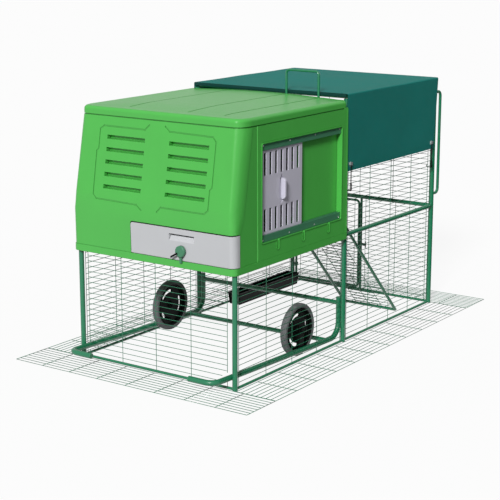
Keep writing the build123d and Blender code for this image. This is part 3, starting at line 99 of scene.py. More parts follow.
class CoopSizes(bpy.types.PropertyGroup):
    """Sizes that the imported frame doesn't state."""

    wire: length("Wire", 0.0025, "Thickness of the welded wire")
    bottom_rail: length("Bottom rail", 0.012, "Thickness of the ground rails and the door's post")
    net_margin: length("Net margin", 0.025, "From a post's centre to the first upright wire")
    front_margin: length("Front net margin", 0.037, "The same under the louvred front")
    net_columns: number("Net columns", 4, "Gaps across one wire wall")
    low_rows: number("Lower rows", 20, "Gaps from the ground to the middle rail")
    high_rows: number("Upper rows", 24, "Gaps from the middle rail to the top")
    apron_pitch: length("Apron pitch", 0.0245, "Gap between the long wires of the ground aprons")
    apron_mesh: length("Apron mesh", 0.15, "Gap between the cross wires of the ground aprons")
    hoop_bend: length("Hoop bend", 0.03, "Bend of the level hoops at their corners")
    handle_bend: length("Handle bend", 0.022, "Bend of the grab handles and of the ramp")
    lift_bend: length("Lift handle bend", 0.016, "Bend of the lift handle")
    door_bend: length("Door bend", 0.018, "Bend of the rear door's frame")
    latch_share: share_of("Latch share", 0.62, "Length of the latch against the packed one")
    latch_pin: length("Latch pin", 0.005, "Thickness of the pin that the latch turns on")
    skid_tube: length("Skid tube", 0.024, "Thickness of the skids")
    skid_front_height: length("Skid front height", 0.054, "Height of the skids at their front ends")
    skid_rear_height: length("Skid rear height", 0.022, "Height of the skids where they turn up")
    skid_top: length("Skid top", 0.2, "Height of the skids' upright ends")
    skid_turn: length("Skid turn", 0.118, "Length of the skids' turned-in front ends")
    skid_plug: length("Skid plug", 0.003, "How far the plugs stand out of the skids' ends")
    skid_front_bend: length("Skid front bend", 0.04, "Bend at the skids' front corners")
    skid_rear_bend: length("Skid rear bend", 0.066, "Bend where the skids turn up")
    ramp_level: length("Ramp level", 0.07, "Level length of the ramp at its top")
    ramp_foot: length("Ramp foot", 0.582, "Place of the ramp's foot behind the house")
    ramp_rows: number("Ramp rows", 28, "Gaps along the ramp")
    soft_edge: length("Soft edge", 0.001, "Rounding of moulded edges")
    cloth: length("Cloth", 0.0012, "Thickness of the cover's cloth")
    hem: length("Hem", 0.022, "Width of the cover's hem")
    stitch: length("Stitch", 0.005, "Length of one stitch with the gap after it")
    cloth_drop: length("Cloth drop", 0.0135, "How far the cover's front edge hangs over the hoop")
    cloth_lead: length("Cloth lead", 0.0023, "How far the cover's front edge stands ahead of its flaps")
    cloth_sag: length("Cloth sag", 0.005, "How far the cover's top sinks in its middle")
    cloth_tuck: length("Cloth tuck", 0.028, "How far the flaps draw in at their rear lower corners")
    cloth_fold: length("Cloth fold", 0.006, "Bend of the cloth where it turns down into a flap")
    cloth_swell: length("Cloth swell", 0.001, "How far a flap's hem stands out between its ties")
    eyelet_bore: length("Eyelet bore", 0.009, "Hole of the cover's rings")
    eyelet_tall: length("Eyelet height", 0.0034, "How far a ring stands off the cloth, both sides together")
    clip_share: share_of("Clip share", 0.5, "Height of the ties' clips against the packed ones")
    tie_cord: length("Tie cord", 0.0045, "Thickness of the elastic ties")
    hook_loop: length("Hook loop", 0.036, "Height of the loop of a tie's hook")
    hook_wide: length("Hook width", 0.015, "Width of that loop")
    hook_wall: length("Hook wall", 0.0045, "Thickness of that loop")
    hook_wire: length("Hook wire", 0.0035, "Thickness of the hook's wire end")


class CoopColours(bpy.types.PropertyGroup):
    """Colours of the finishes."""

    house: colour("House", (0.083, 0.5, 0.08), "Moulded house panels")
    drawer: colour("Drawer", (0.58, 0.59, 0.61), "Egg drawer")
    vent: colour("Vent door", (0.645, 0.63, 0.73), "Sliding vent door and pop door")
    trim: colour("Dark trim", (0.06, 0.235, 0.125), "Vent rails, drawer knob, plugs and perches")
    tube: colour("Tube", (0.012, 0.20, 0.09), "Powder-coated tube")
    wire: colour("Wire", (0.004, 0.165, 0.075), "Coated wire")
    cloth: colour("Cloth", (0.010, 0.212, 0.18), "Run cover")
    binding: colour("Binding", (0.002, 0.045, 0.038), "Bound front edge of the cover")
    tyre: colour("Tyre", (0.16, 0.165, 0.17), "Solid tyres")
    black: colour("Black plastic", (0.006, 0.007, 0.0065), "Hubs, trough, brackets, bolts, hooks and cords")
    steel: colour("Bright metal", (0.70, 0.70, 0.72), "Screws, rings and clips")


class Field:
    """A shader value that plain arithmetic works on."""

    def __init__(self, finish, socket):
        self.finish = finish
        self.socket = socket

    def maths(self, operation, first, second=0.0):
        return self.finish.node("ShaderNodeMath", {"operation": operation}, {0: first, 1: second})

    def __add__(self, other):
        return self.maths("ADD", self, other)

    def __sub__(self, other):
        return self.maths("SUBTRACT", self, other)

    def __rsub__(self, other):
        return self.maths("SUBTRACT", other, self)

    def __mul__(self, other):
        return self.maths("MULTIPLY", self, other)

    def __abs__(self):
        return self.maths("ABSOLUTE", self)

    def wave(self):
        return self.maths("SINE", self)

    def above(self, level):
        return self.maths("GREATER_THAN", self, level)

    __radd__ = __add__
    __rmul__ = __mul__


class Finish:
    """A material or world being written, one node at a time."""

    def __init__(self, owner, shader, constants):
        owner.use_nodes = True
        self.owner = owner
        self.tree = owner.node_tree
        self.shader = self.tree.nodes[shader]
        for socket, value in constants.items():
            self.shader.inputs[socket].default_value = value

    def node(self, kind, settings=None, inputs=None, output=0):
        """Adds one node, sets it, feeds its sockets and gives back one of its outputs."""
        made = self.tree.nodes.new(kind)
        for key, value in (settings or {}).items():
            setattr(made, key, value)
        for key, value in (inputs or {}).items():
            self.feed(made.inputs[key], value)
        return Field(self, made.outputs[output])

    def feed(self, socket, value):
        if isinstance(value, Field):
            self.tree.links.new(value.socket, socket)
        else:
            socket.default_value = value

    def place(self):
        """Where a point lies in metres."""
        return self.node("ShaderNodeTexCoord", output="Object")

    def along(self, axis, vector):
        """One part of a vector."""
        return self.node("ShaderNodeSeparateXYZ", None, {0: vector}, axis)

    def straight(self, mirror):
        """One for rays that see the background itself, and a share for those that meet it in a mirror."""
        names = ("Is Camera Ray", "Is Glossy Ray", "Is Transmission Ray")
        seen, mirrored, through = [self.node("ShaderNodeLightPath", output=name) for name in names]
        return seen + mirrored * mirror + through

    def noise(self, scale, detail, stretch=(1, 1, 1)):
        """Soft random field over the piece, with features about 1 / scale metres across."""
        inputs = {0: self.place(), 1: stretch}
        place = self.node("ShaderNodeVectorMath", {"operation": "MULTIPLY"}, inputs)
        inputs = {"Vector": place, "Scale": scale, "Detail": detail}
        return self.node("ShaderNodeTexNoise", None, inputs, "Fac")

    def crease_shade_factor(self, reach):
        """One on open faces, and less in creases, where the painted shade goes."""
        return self.node("ShaderNodeAmbientOcclusion", {"samples": 8}, {"Distance": reach}, "AO")

    def blend(self, factor, first, second):
        """Colour between two colours."""
        inputs = {0: factor, 6: first, 7: second}
        return self.node("ShaderNodeMix", {"data_type": "RGBA"}, inputs, 2)

    def shades(self, tone, spread, factor):
        """Colour that wanders a little darker and lighter than the given tone."""
        dark = [part * (1 - spread) for part in tone] + [1]
        light = [min(1, part * (1 + spread)) for part in tone] + [1]
        return self.blend(factor, dark, light)

    def dress(self, paint, rough, height, depth):
        """Feeds colour, roughness and a relief of a given depth in metres, and gives back the material."""
        inputs = {"Strength": 1.0, "Distance": depth, "Height": height}
        self.feed(self.shader.inputs["Base Color"], paint)
        self.feed(self.shader.inputs["Roughness"], rough)
        self.feed(self.shader.inputs["Normal"], self.node("ShaderNodeBump", None, inputs))
        return self.owner


def new_finish(name, constants):
    """An empty material with its fixed values set."""
    return Finish(bpy.data.materials.new(name), "Principled BSDF", constants)


def moulded_plastic(name, tone, gloss_loss, sheen=0.5):
    """Satin injection-moulded plastic: fine spark texture, flow clouds, rubbed patches and painted shade in the
    creases.
    """
    finish = new_finish(name, {"Specular IOR Level": sheen})
    clouds = finish.noise(5.0, 3.0)
    scuffs = finish.noise(26.0, 5.0, (1, 1, 0.35))
    spark = finish.noise(1400.0, 1.0)
    crease_shade_colour = [part * CREASE_SHADE_SHARE for part in tone] + [1]
    shades = finish.shades(tone, 0.07, clouds * 0.7 + scuffs * 0.3)
    # Painted shade: ambient occlusion darkens the colour almost to black in creases, seams, grooves and recesses
    paint = finish.blend(finish.crease_shade_factor(CREASE_SHADE_REACH), crease_shade_colour, shades)
    rough = gloss_loss - 0.07 + clouds * 0.06 + scuffs * 0.1
    return finish.dress(paint, rough, spark + scuffs * 0.4, 0.00012)


def powder_coat(name, tone):
    """Baked powder coat with its orange-peel skin and a few duller handling marks."""
    coat = {"Coat Weight": 0.6, "Coat Roughness": 0.15}
    finish = new_finish(name, {"Specular IOR Level": 0.4, **coat})
    clouds = finish.noise(9.0, 3.0)
    peel = finish.noise(620.0, 2.0)
    marks = finish.noise(60.0, 6.0)
    shades = finish.shades(tone, 0.12, clouds * 0.6 + marks * 0.4)
    return finish.dress(shades, 0.3 + marks * 0.22, peel, 0.00015)


def woven_cloth(name, tone, pitch):
    """Coated plain weave that follows the cloth over its edges, with a dark binding along the front."""
    scene = bpy.context.scene
    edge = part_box("run_cover")[0].y + scene.coop_sizes.cloth_lead
    finish = new_finish(name, {"Specular IOR Level": 0.2})
    place = finish.place()
    level = abs(finish.along("Z", finish.node("ShaderNodeNewGeometry", output="Normal")))
    across = finish.along("X", place) * level + finish.along("Z", place) * (1 - level)
    turns = 2 * math.pi / pitch
    weave = (across * turns).wave() * (finish.along("Y", place) * turns).wave()
    clouds = finish.noise(4.0, 4.0)
    slubs = finish.noise(300.0, 2.0, (1, 0.08, 0.08))
    shades = finish.shades(tone, 0.22, clouds * 0.6 + slubs * 0.25 + weave * 0.08 + 0.1)
    bound = (edge - finish.along("Y", place)).above(0.0)
    paint = finish.blend(bound, shades, (*scene.coop_colours.binding, 1))
    return finish.dress(paint, 0.6 + clouds * 0.16, weave * 0.5 + slubs, 0.00025)


def tyre_rubber(name, tone):
    """Matt solid rubber with a dusty bloom."""
    finish = new_finish(name, {"Specular IOR Level": 0.35})
    dust = finish.noise(34.0, 6.0)
    pores = finish.noise(900.0, 2.0)
    return finish.dress(finish.shades(tone, 0.25, dust), 0.62 + dust * 0.2, pores + dust * 0.5, 0.0003)


def plated_steel(name, tone):
    """Bright plated steel with faint drawn lines and a thin dull film."""
    finish = new_finish(name, {"Metallic": 0.7})
    drawn = finish.noise(500.0, 3.0, (1, 1, 0.05))
    return finish.dress(finish.shades(tone, 0.1, drawn), 0.26 + drawn * 0.2, drawn, 0.00005)


def braided_cord(name, tone, turns):
    """Dark elastic cord with a braided jacket."""
    finish = new_finish(name, {"Specular IOR Level": 0.3})
    place = finish.place()
    side = finish.along("Y", place) * turns
    rise = finish.along("Z", place) * turns
    strands = (rise + side).wave() * (rise - side).wave()
    shades = finish.shades(tone, 0.5, strands * 0.5 + 0.5)
    return finish.dress(shades, 0.7 + strands * 0.1, strands, 0.0003)


# Writer, colour and further values of each slot's finish
FINISHES = {
    "house_green": (moulded_plastic, "house", 0.3),
    "drawer_grey": (moulded_plastic, "drawer", 0.34),
    "vent_grey": (moulded_plastic, "vent", 0.36),
    "dark_green_plastic": (moulded_plastic, "trim", 0.4),
    "black_plastic": (moulded_plastic, "black", 0.36, 0.06),
    "perch_plastic": (moulded_plastic, "trim", 0.5),
    "tube_green": (powder_coat, "tube"),
    "wire_green": (powder_coat, "wire"),
    "grey_tyre": (tyre_rubber, "tyre"),
    "bright_steel": (plated_steel, "steel"),
    "cover_cloth": (woven_cloth, "cloth", 0.0022),
    "dark_cord": (braided_cord, "black", 2600.0),
}


def finish_for(slot):
    """The finish of a material slot, written when it is first asked for."""
    name = f"{slot}_finish"
    if name in bpy.data.materials:
        return bpy.data.materials[name]
    writer, tone, *details = FINISHES[slot]
    return writer(name, getattr(bpy.context.scene.coop_colours, tone), *details)


def slot_of(node):
    """The record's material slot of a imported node."""
    return next(part["material_slot"] for part in frame["record"]["subparts"] if part["node"] == node)


def body_of(node):
    """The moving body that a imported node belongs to."""
    return next(body for body, nodes in frame["record"]["behaviour"]["bodies"].items() if node in nodes)


def add_object(name, mesh, material):
    """Puts a finished mesh in the scene."""
    data = bpy.data.meshes.new(name)
    mesh.to_mesh(data)
    mesh.free()
    data.materials.append(material)
    made = bpy.data.objects.new(name, data)
    bpy.context.scene.collection.objects.link(made)
    return made


def add_piece(name, mesh, node, slot=None, hard=True):
    """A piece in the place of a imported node, shaded smoothly but for its hard corners."""
    slot = slot or slot_of(node)
    piece = add_object(name, mesh, finish_for(slot))
    for face in piece.data.polygons:
        face.use_smooth = True
    if hard:
        piece.data.set_sharp_from_angle(angle=math.radians(HARD_CORNER))
    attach(piece, body_of(node))
    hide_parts(node)
    return piece


def measure(node, axis):
    """Low corner, high corner, middle, and half the thickness along one axis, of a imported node's box."""
    low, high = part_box(node)
    return low, high, (low + high) / 2, (high[axis] - low[axis]) / 2


def centre(node):
    """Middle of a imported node's box."""
    return measure(node, 0)[2]


def spread(low, high, gaps):
    """Even steps from low to high, ends included."""
    return [low + (high - low) * step / gaps for step in range(gaps + 1)]


def on_levels(levels, place):
    """Value at a place, on straight lines between known levels."""
    for (low, first), (high, second) in zip(levels, levels[1:]):
        if place <= high:
            break
    return first + (second - first) * (place - low) / (high - low)


def rectangle(left, right, bottom, top):
    """Corners of a flat outline."""
    return ((left, bottom), (right, bottom), (right, top), (left, top))


def in_plane(axis, place, outline):
    """Points of a flat outline that lies square to one axis."""
    return [Vector((*point[:axis], place, *point[axis:])) for point in outline]


def bent_path(corners, bends, closed, steps):
    """Points along straight runs, with an arc at each corner."""
    count = len(corners)
    path = []
    for index, corner in enumerate(corners):
        if not closed and index in (0, count - 1):
            path.append(corner.copy())
            continue
        back = (corners[index - 1] - corner).normalized()
        ahead = (corners[(index + 1) % count] - corner).normalized()
        half = back.angle(ahead) / 2
        bend = bends[index % len(bends)]
        middle = corner + (back + ahead).normalized() * (bend / math.sin(half))
        start = corner + back * (bend / math.tan(half)) - middle
        axis = back.cross(ahead)
        for angle in spread(0, 2 * half - math.pi, steps):
            path.append(middle + Quaternion(axis, angle) @ start)
    return path


def join_rings(mesh, rings, closed, flip=False):
    """Faces between rings of points that follow one another."""
    for ring, after in zip(rings, rings[1:] + (rings[:1] if closed else [])):
        for step in range(len(ring)):
            follow = (step + 1) % len(ring)
            face = [ring[step], ring[follow], after[follow], after[step]]
            mesh.faces.new(face[::-1] if flip else face)


def add_tube(mesh, path, radius, closed=False, sides=16):
    """Sweeps a round section along a path."""
    count = len(path)
    tangents = []
    for index, point in enumerate(path):
        before = path[index - 1] if closed or index else point
        after = path[(index + 1) % count] if closed or index < count - 1 else point
        tangents.append((after - before).normalized())
    normal = tangents[0].orthogonal().normalized()
    rings = []
    for point, tangent, last in zip(path, tangents, [tangents[0]] + tangents):
        normal = (last.rotation_difference(tangent) @ normal).normalized()
        side = tangent.cross(normal)
        ring = []
        for angle in spread(0, 2 * math.pi, sides)[:-1]:
            out = normal * math.cos(angle) + side * math.sin(angle)
            ring.append(mesh.verts.new(point + out * radius))
        rings.append(ring)
    join_rings(mesh, rings, closed)
    if not closed:
        mesh.faces.new(list(reversed(rings[0])))
        mesh.faces.new(rings[-1])


def add_bent(mesh, corners, bends, radius, closed=False, sides=18, steps=8):
    """Sweeps a round section along straight runs and bends."""
    add_tube(mesh, bent_path(corners, bends, closed, steps), radius, closed, sides)


def add_bar(name, node, corners, bends, radius, slot=None, **details):
    """A piece of one bent tube."""
    mesh = bmesh.new()
    add_bent(mesh, corners, bends, radius, **details)
    add_piece(name, mesh, node, slot)


def add_line(mesh, origin, way, start, end, wire):
    """One straight wire between two places along a way."""
    add_tube(mesh, [origin + way * start, origin + way * end], wire / 2, sides=6)


def add_net(mesh, origin, across, up, columns, rows, wire, lift=NET_LIFT, over=NET_OVER):
    """Welded net: upright wires, with the level ones laid against their outer side."""
    outer = origin + across.cross(up).normalized() * wire * lift
    past = wire * over
    for column in columns:
        add_line(mesh, origin + across * column, up, rows[0] - past, rows[-1] + past, wire)
    for row in rows:
        add_line(mesh, outer + up * row, across, columns[0] - past, columns[-1] + past, wire)


def lathe(mesh, profile, origin, axis, segments):
    """Turns a closed profile of (radius, along) points round an axis."""
    axis = axis.normalized()
    spoke = axis.orthogonal().normalized()
    rings = []
    for angle in spread(0, 2 * math.pi, segments)[:-1]:
        out = Quaternion(axis, angle) @ spoke
        rings.append([mesh.verts.new(origin + out * radius + axis * along) for radius, along in profile])
    join_rings(mesh, rings, closed=True, flip=True)


def packed_mesh(node):
    """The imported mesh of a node, with its doubled points joined."""
    mesh = bmesh.new()
    mesh.from_mesh(frame["nodes"][node].data)
    bmesh.ops.remove_doubles(mesh, verts=mesh.verts, dist=SAME_POINT)
    return mesh


def soft_copy(name, node, share=1.0, angle=MOULDED_EDGE, slot=None):
    """A packed moulding with its hard edges rounded off, by a share of the usual rounding."""
    mesh = packed_mesh(node)
    bmesh.ops.dissolve_limit(mesh, angle_limit=math.radians(FLAT_FACE), verts=mesh.verts, edges=mesh.edges)
    bmesh.ops.triangulate(mesh, faces=[face for face in mesh.faces if len(face.verts) > 4])
    piece = add_piece(name, mesh, node, slot, hard=False)
    soften = piece.modifiers.new("soft edges", "BEVEL")
    soften.width = bpy.context.scene.coop_sizes.soft_edge * share
    soften.segments = 2
    soften.limit_method = "ANGLE"
    soften.angle_limit = math.radians(angle)
    even = piece.modifiers.new("even shading", "WEIGHTED_NORMAL")
    even.keep_sharp = True
    return piece


class COOP_OT_tube_frame(bpy.types.Operator):
    """Builds the posts, the two level hoops and the grab handles"""

    bl_idname = "coop.tube_frame"
    bl_label = "Tube frame"

    POST_CHAMFER = 0.15

    def post(self, node):
        low, high, middle, radius = measure(node, 0)
        chamfer = radius * self.POST_CHAMFER
        profile = [(HAIR, low.z), (radius - chamfer, low.z), (radius, low.z + chamfer), (radius, high.z),
                   (HAIR, high.z)]
        mesh = bmesh.new()
        lathe(mesh, profile, Vector((middle.x, middle.y, 0)), UP, 24)
        add_piece(node.replace("post", "upright"), mesh, node)

    def hoop(self, node, bend):
        low, high, middle, radius = measure(node, 2)
        outline = rectangle(low.x + radius, high.x - radius, low.y + radius, high.y - radius)
        corners = in_plane(2, middle.z, outline)
        add_bar(node.replace("hoop", "ring"), node, corners, [bend], radius, closed=True, sides=20)

    def handle(self, node, bend):
        low, high, middle, radius = measure(node, 0)
        out, top, bottom = high.y - radius, high.z - radius, low.z + radius
        outline = ((low.y, top), (out, top), (out, bottom), (low.y, bottom))
        add_bar(node.replace("handle", "bar"), node, in_plane(0, middle.x, outline), [bend], radius)

    def execute(self, context):
        sizes = context.scene.coop_sizes
        for place in ("front", "mid", "rear"):
            for side in SIDES:
                self.post(f"{place}_{side}_post")
        self.hoop("house_support_hoop", sizes.hoop_bend)
        self.hoop("run_top_hoop", sizes.hoop_bend)
        for side in SIDES:
            self.handle(f"{side}_grab_handle", sizes.handle_bend)
        return {"FINISHED"}


class COOP_OT_wire_walls(bpy.types.Operator):
    """Builds the welded wire walls with their rails, and the run's wire top"""

    bl_idname = "coop.wire_walls"
    bl_label = "Wire walls"

    # Where rails end inside a post, against its radius
    POST_REACH = 0.9
    # Room below and above a skid's middle line in the front wall, against its radius
    HOLE_BELOW = 1.5
    HOLE_ABOVE = 1.2
    # Thickness of the latch pin's head, against the pin
    PIN_HEAD = 0.4
    # Shortening of the run top's outer wires against the hoop's bend, and the top's seat in half wires
    TOP_BEND = 0.3
    TOP_SEAT = 0.3

    def rails(self, name, node, sizes, first, last, further=()):
        """Rails between two posts in the tubes' finish: at the ground, and at the hoop in a taller wall."""
        near, far = centre(first), centre(last)
        near.z = far.z = 0
        inset = (far - near).normalized() * measure(first, 0)[3] * self.POST_REACH
        heights = [(sizes.bottom_rail / 2, sizes.bottom_rail)]
        hoop_high, hoop_middle, hoop_radius = measure("house_support_hoop", 2)[1:]
        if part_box(node)[1].z > hoop_high.z:
            heights.append((hoop_middle.z, 2 * hoop_radius))
        runs = list(further)
        for height, thickness in heights:
            runs.append((near + inset + UP * height, far - inset + UP * height, thickness))
        mesh = bmesh.new()
        for start, end, thickness in runs:
            add_tube(mesh, [start, end], thickness / 2, sides=14)
        add_piece(name, mesh, node, "tube_green")

    def levels(self, node, sizes):
        """Heights of a wall's wires, from the bottom rail up."""
        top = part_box(node)[1].z - sizes.wire / 2
        bottom = sizes.bottom_rail / 2
        middle = centre("house_support_hoop").z
        if top < middle:
            return spread(bottom, top, sizes.low_rows)
        return spread(bottom, middle, sizes.low_rows) + spread(middle, top, sizes.high_rows)[1:]

    def side_wall(self, node, sizes, first, last):
        """Wall along the coop between two posts."""
        near, far = centre(first), centre(last)
        outward = math.copysign(1, near.x)
        places = spread(near.y + sizes.net_margin, far.y - sizes.net_margin, sizes.net_columns)
        columns = [place * outward for place in places]
        rows = self.levels(node, sizes)
        mesh = bmesh.new()
        add_net(mesh, RIGHT * near.x, REARWARD * outward, UP, columns, rows, sizes.wire)
        add_piece(node.replace("net", "wall"), mesh, node)
        self.rails(node.replace("net", "rails"), node, sizes, first, last)

    def front_wall(self, sizes):
        """Wall under the louvred front, open where the skids pass through."""
        posts = "front_left_post", "front_right_post"
        left, right = [centre(post) for post in posts]
        rows = self.levels("front_net", sizes)
        columns = spread(left.x + sizes.front_margin, right.x - sizes.front_margin, sizes.net_columns)
        skid_radius = sizes.skid_tube / 2
        hole_low = sizes.skid_front_height - self.HOLE_BELOW * skid_radius
        hole_high = sizes.skid_front_height + self.HOLE_ABOVE * skid_radius
        mesh = bmesh.new()
        for column in columns:
            runs = [(rows[0], rows[-1])]
            if column in (columns[0], columns[-1]):
                runs = [(rows[0], hole_low), (hole_high, rows[-1])]
            for low, high in runs:
                add_line(mesh, Vector((column, left.y, 0)), UP, low, high, sizes.wire)
        for row in rows:
            reach = columns[-1] - (2 * skid_radius if hole_low < row < hole_high else 0)
            middle = Vector((0, left.y - sizes.wire * NET_LIFT, row))
            add_line(mesh, middle, RIGHT, -reach, reach, sizes.wire)
        add_piece("front_wall", mesh, "front_net")
        self.rails("front_rail", "front_net", sizes, *posts)

    def rear_wall(self, sizes):
        """Rear wall with the gap for the door, the door's post and the latch's pin."""
        posts = "rear_left_post", "rear_right_post"
        side = centre(posts[1])
        latch = Vector(JOINTS["door_latch_turn"]["pos_m"])
        margin = sizes.net_margin
        rows = self.levels("rear_net", sizes)
        low_rows, high_rows = rows[: sizes.low_rows + 1], rows[sizes.low_rows :]
        halves = ((side.x, sizes.net_columns, high_rows), (-latch.x, sizes.net_columns // 2, low_rows))
        mesh = bmesh.new()
        for end, gaps, heights in halves:
            columns = spread(margin - side.x, end - margin, gaps)
            add_net(mesh, REARWARD * side.y, -RIGHT, UP, columns, heights, sizes.wire)
        pin = Vector((latch.x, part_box("rear_net")[1].y, latch.z))
        add_tube(mesh, [Vector((latch.x, side.y, latch.z)), pin], sizes.latch_pin / 2, sides=12)
        add_tube(mesh, [pin - REARWARD * sizes.latch_pin * self.PIN_HEAD, pin], sizes.latch_pin)
        add_piece("rear_wall", mesh, "rear_net")
        thin = sizes.bottom_rail
        foot, head = [Vector((latch.x, side.y, height)) for height in (thin / 2, low_rows[-1])]
        self.rails("rear_rails", "rear_net", sizes, *posts, [(foot, head, thin)])

    def run_top(self, sizes):
        low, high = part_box("run_top_net")
        half = sizes.wire / 2
        columns = spread(low.x + half, high.x - half, 2 * sizes.net_columns)
        rows = spread(low.y + half, high.y - half, sizes.high_rows)
        bend = sizes.hoop_bend * self.TOP_BEND
        origin = UP * (low.z + half * self.TOP_SEAT)
        mesh = bmesh.new()
        add_net(mesh, origin, RIGHT, REARWARD, columns[1:-1], rows, sizes.wire)
        for column in (columns[0], columns[-1]):
            add_line(mesh, origin + RIGHT * column, REARWARD, rows[0] + bend, rows[-1] - bend, sizes.wire)
        add_piece("run_top_wires", mesh, "run_top_net", hard=False)

    def execute(self, context):
        sizes = context.scene.coop_sizes
        self.front_wall(sizes)
        for side in SIDES:
            self.side_wall(f"{side}_front_net", sizes, f"front_{side}_post", f"mid_{side}_post")
            self.side_wall(f"{side}_run_net", sizes, f"mid_{side}_post", f"rear_{side}_post")
        self.rear_wall(sizes)
        self.run_top(sizes)
        return {"FINISHED"}


class COOP_OT_ground_aprons(bpy.types.Operator):
    """Builds the wire aprons that lie on the ground round the frame"""

    bl_idname = "coop.ground_aprons"
    bl_label = "Ground aprons"

    def execute(self, context):
        sizes = context.scene.coop_sizes
        half = sizes.wire / 2
        for side in ("front", "rear", *SIDES):
            low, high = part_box(f"{side}_skirt")
            wide, deep = high.x - low.x, high.y - low.y
            pitches = (sizes.apron_pitch, sizes.apron_mesh)
            if wide > deep:
                pitches = (sizes.apron_mesh, sizes.apron_pitch)
            columns = spread(low.x + half, high.x - half, round(wide / pitches[0]))
            rows = spread(low.y + half, high.y - half, round(deep / pitches[1]))
            mesh = bmesh.new()
            origin = UP * (low.z + half)
            add_net(mesh, origin, RIGHT, REARWARD, columns, rows, sizes.wire, lift=0, over=0)
            add_piece(f"{side}_apron", mesh, f"{side}_skirt", hard=False)
        return {"FINISHED"}


class COOP_OT_house_shell(bpy.types.Operator):
    """Rounds the edges of the house's moulded panels"""

    bl_idname = "coop.house_shell"
    bl_label = "House shell"

    # Height and depth of the front's face, and the louvres in it
    FRONT_LEVELS = ((0.655, -0.84706), (0.725, -0.84226), (1.05, -0.789))
    LOUVRE_ROWS = (0.762, 0.8123, 0.8626, 0.9129, 0.9632)
    LOUVRE_REACH = ((-0.2534, -0.0506), (0.0686, 0.2714))
    LOUVRE_TALL = 0.0213
    LOUVRE_DEEP = 0.0201
    LOUVRE_BACK = 0.0012
    # Height and half width of the side walls, height and place of their seam, and the strip behind it
    WALL_TAPER = ((0.503, 0.418), (1.05, 0.4155))
    SEAM_LEVELS = ((0.503, -0.803), (0.637, -0.803), (0.68, -0.781), (1.05, -0.712))
    STEP_FOOT = -0.688
    STEP_EASE = 0.0032
    # Depth at the seam and further fall of the strip's outer and inner face
    STRIP_FACES = ((0.0012, 0.0038), (0.0036, 0.005))
    STRIP_SLACK = 0.001
    # Shares of the way from seam to step between which a point belongs to the step
    STRIP_FOOT = (0.99, 1.005)
    # Rounding of the front's edges against the other panels
    FRONT_EDGE = 0.7

    def louvre_backs(self):
        """Plates that close the louvres' sleeves at their inner ends."""
        mesh = bmesh.new()
        for height in self.LOUVRE_ROWS:
            fore = on_levels(self.FRONT_LEVELS, height) + self.LOUVRE_DEEP
            for left, right in self.LOUVRE_REACH:
                plate = bmesh.ops.create_cube(mesh, size=1)["verts"]
                bmesh.ops.scale(mesh, verts=plate, vec=(right - left, self.LOUVRE_BACK, self.LOUVRE_TALL))
                middle = ((left + right) / 2, fore + self.LOUVRE_BACK / 2, height)
                bmesh.ops.translate(mesh, verts=plate, vec=middle)
        add_piece("louvre_backs", mesh, "house_front")

    def ease_step(self, piece):
        """Lifts the sunk strip of a side wall towards its step, so that the step shows as a thin line."""
        foot, end = self.STRIP_FOOT
        for vert in piece.data.vertices:
            seam = on_levels(self.SEAM_LEVELS, vert.co.z)
            share = (vert.co.y - seam) / (self.STEP_FOOT - seam)
            if not 0 < share < end:
                continue
            sunk = on_levels(self.WALL_TAPER, vert.co.z) - abs(vert.co.x)
            outer, inner = [abs(sunk - start - fall * share) for start, fall in self.STRIP_FACES]
            if outer < min(inner, self.STRIP_SLACK):
                vert.co.x += math.copysign(self.STEP_EASE * share, vert.co.x)
                if share > foot:
                    vert.co.y += self.STEP_EASE

    def execute(self, context):
        for place in ("base", "front", *SIDES, "rear", "roof"):
            share = self.FRONT_EDGE if place == "front" else 1.0
            panel = soft_copy(f"moulded_{place}", f"house_{place}", share)
            if place in SIDES:
                self.ease_step(panel)
        self.louvre_backs()
        return {"FINISHED"}


class COOP_OT_egg_drawer(bpy.types.Operator):
    """Builds the egg drawer with its knob and lever"""

    bl_idname = "coop.egg_drawer"
    bl_label = "Egg drawer"

    LEVER_START = 0.02

    def execute(self, context):
        soft_copy("nest_drawer", "egg_drawer")
        soft_copy("turning_knob", "drawer_knob")
        lever = soft_copy("knob_lever", "drawer_lever")
        low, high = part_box("drawer_lever")
        root, tip = Vector((high.x, 0, high.z)), Vector((low.x, 0, low.z))
        way = (tip - root).normalized()
        long = (tip - root).length
        for vert in lever.data.vertices:
            place = (vert.co - root).dot(way)
            vert.co += way * self.LEVER_START * (1 - place / long)
        return {"FINISHED"}


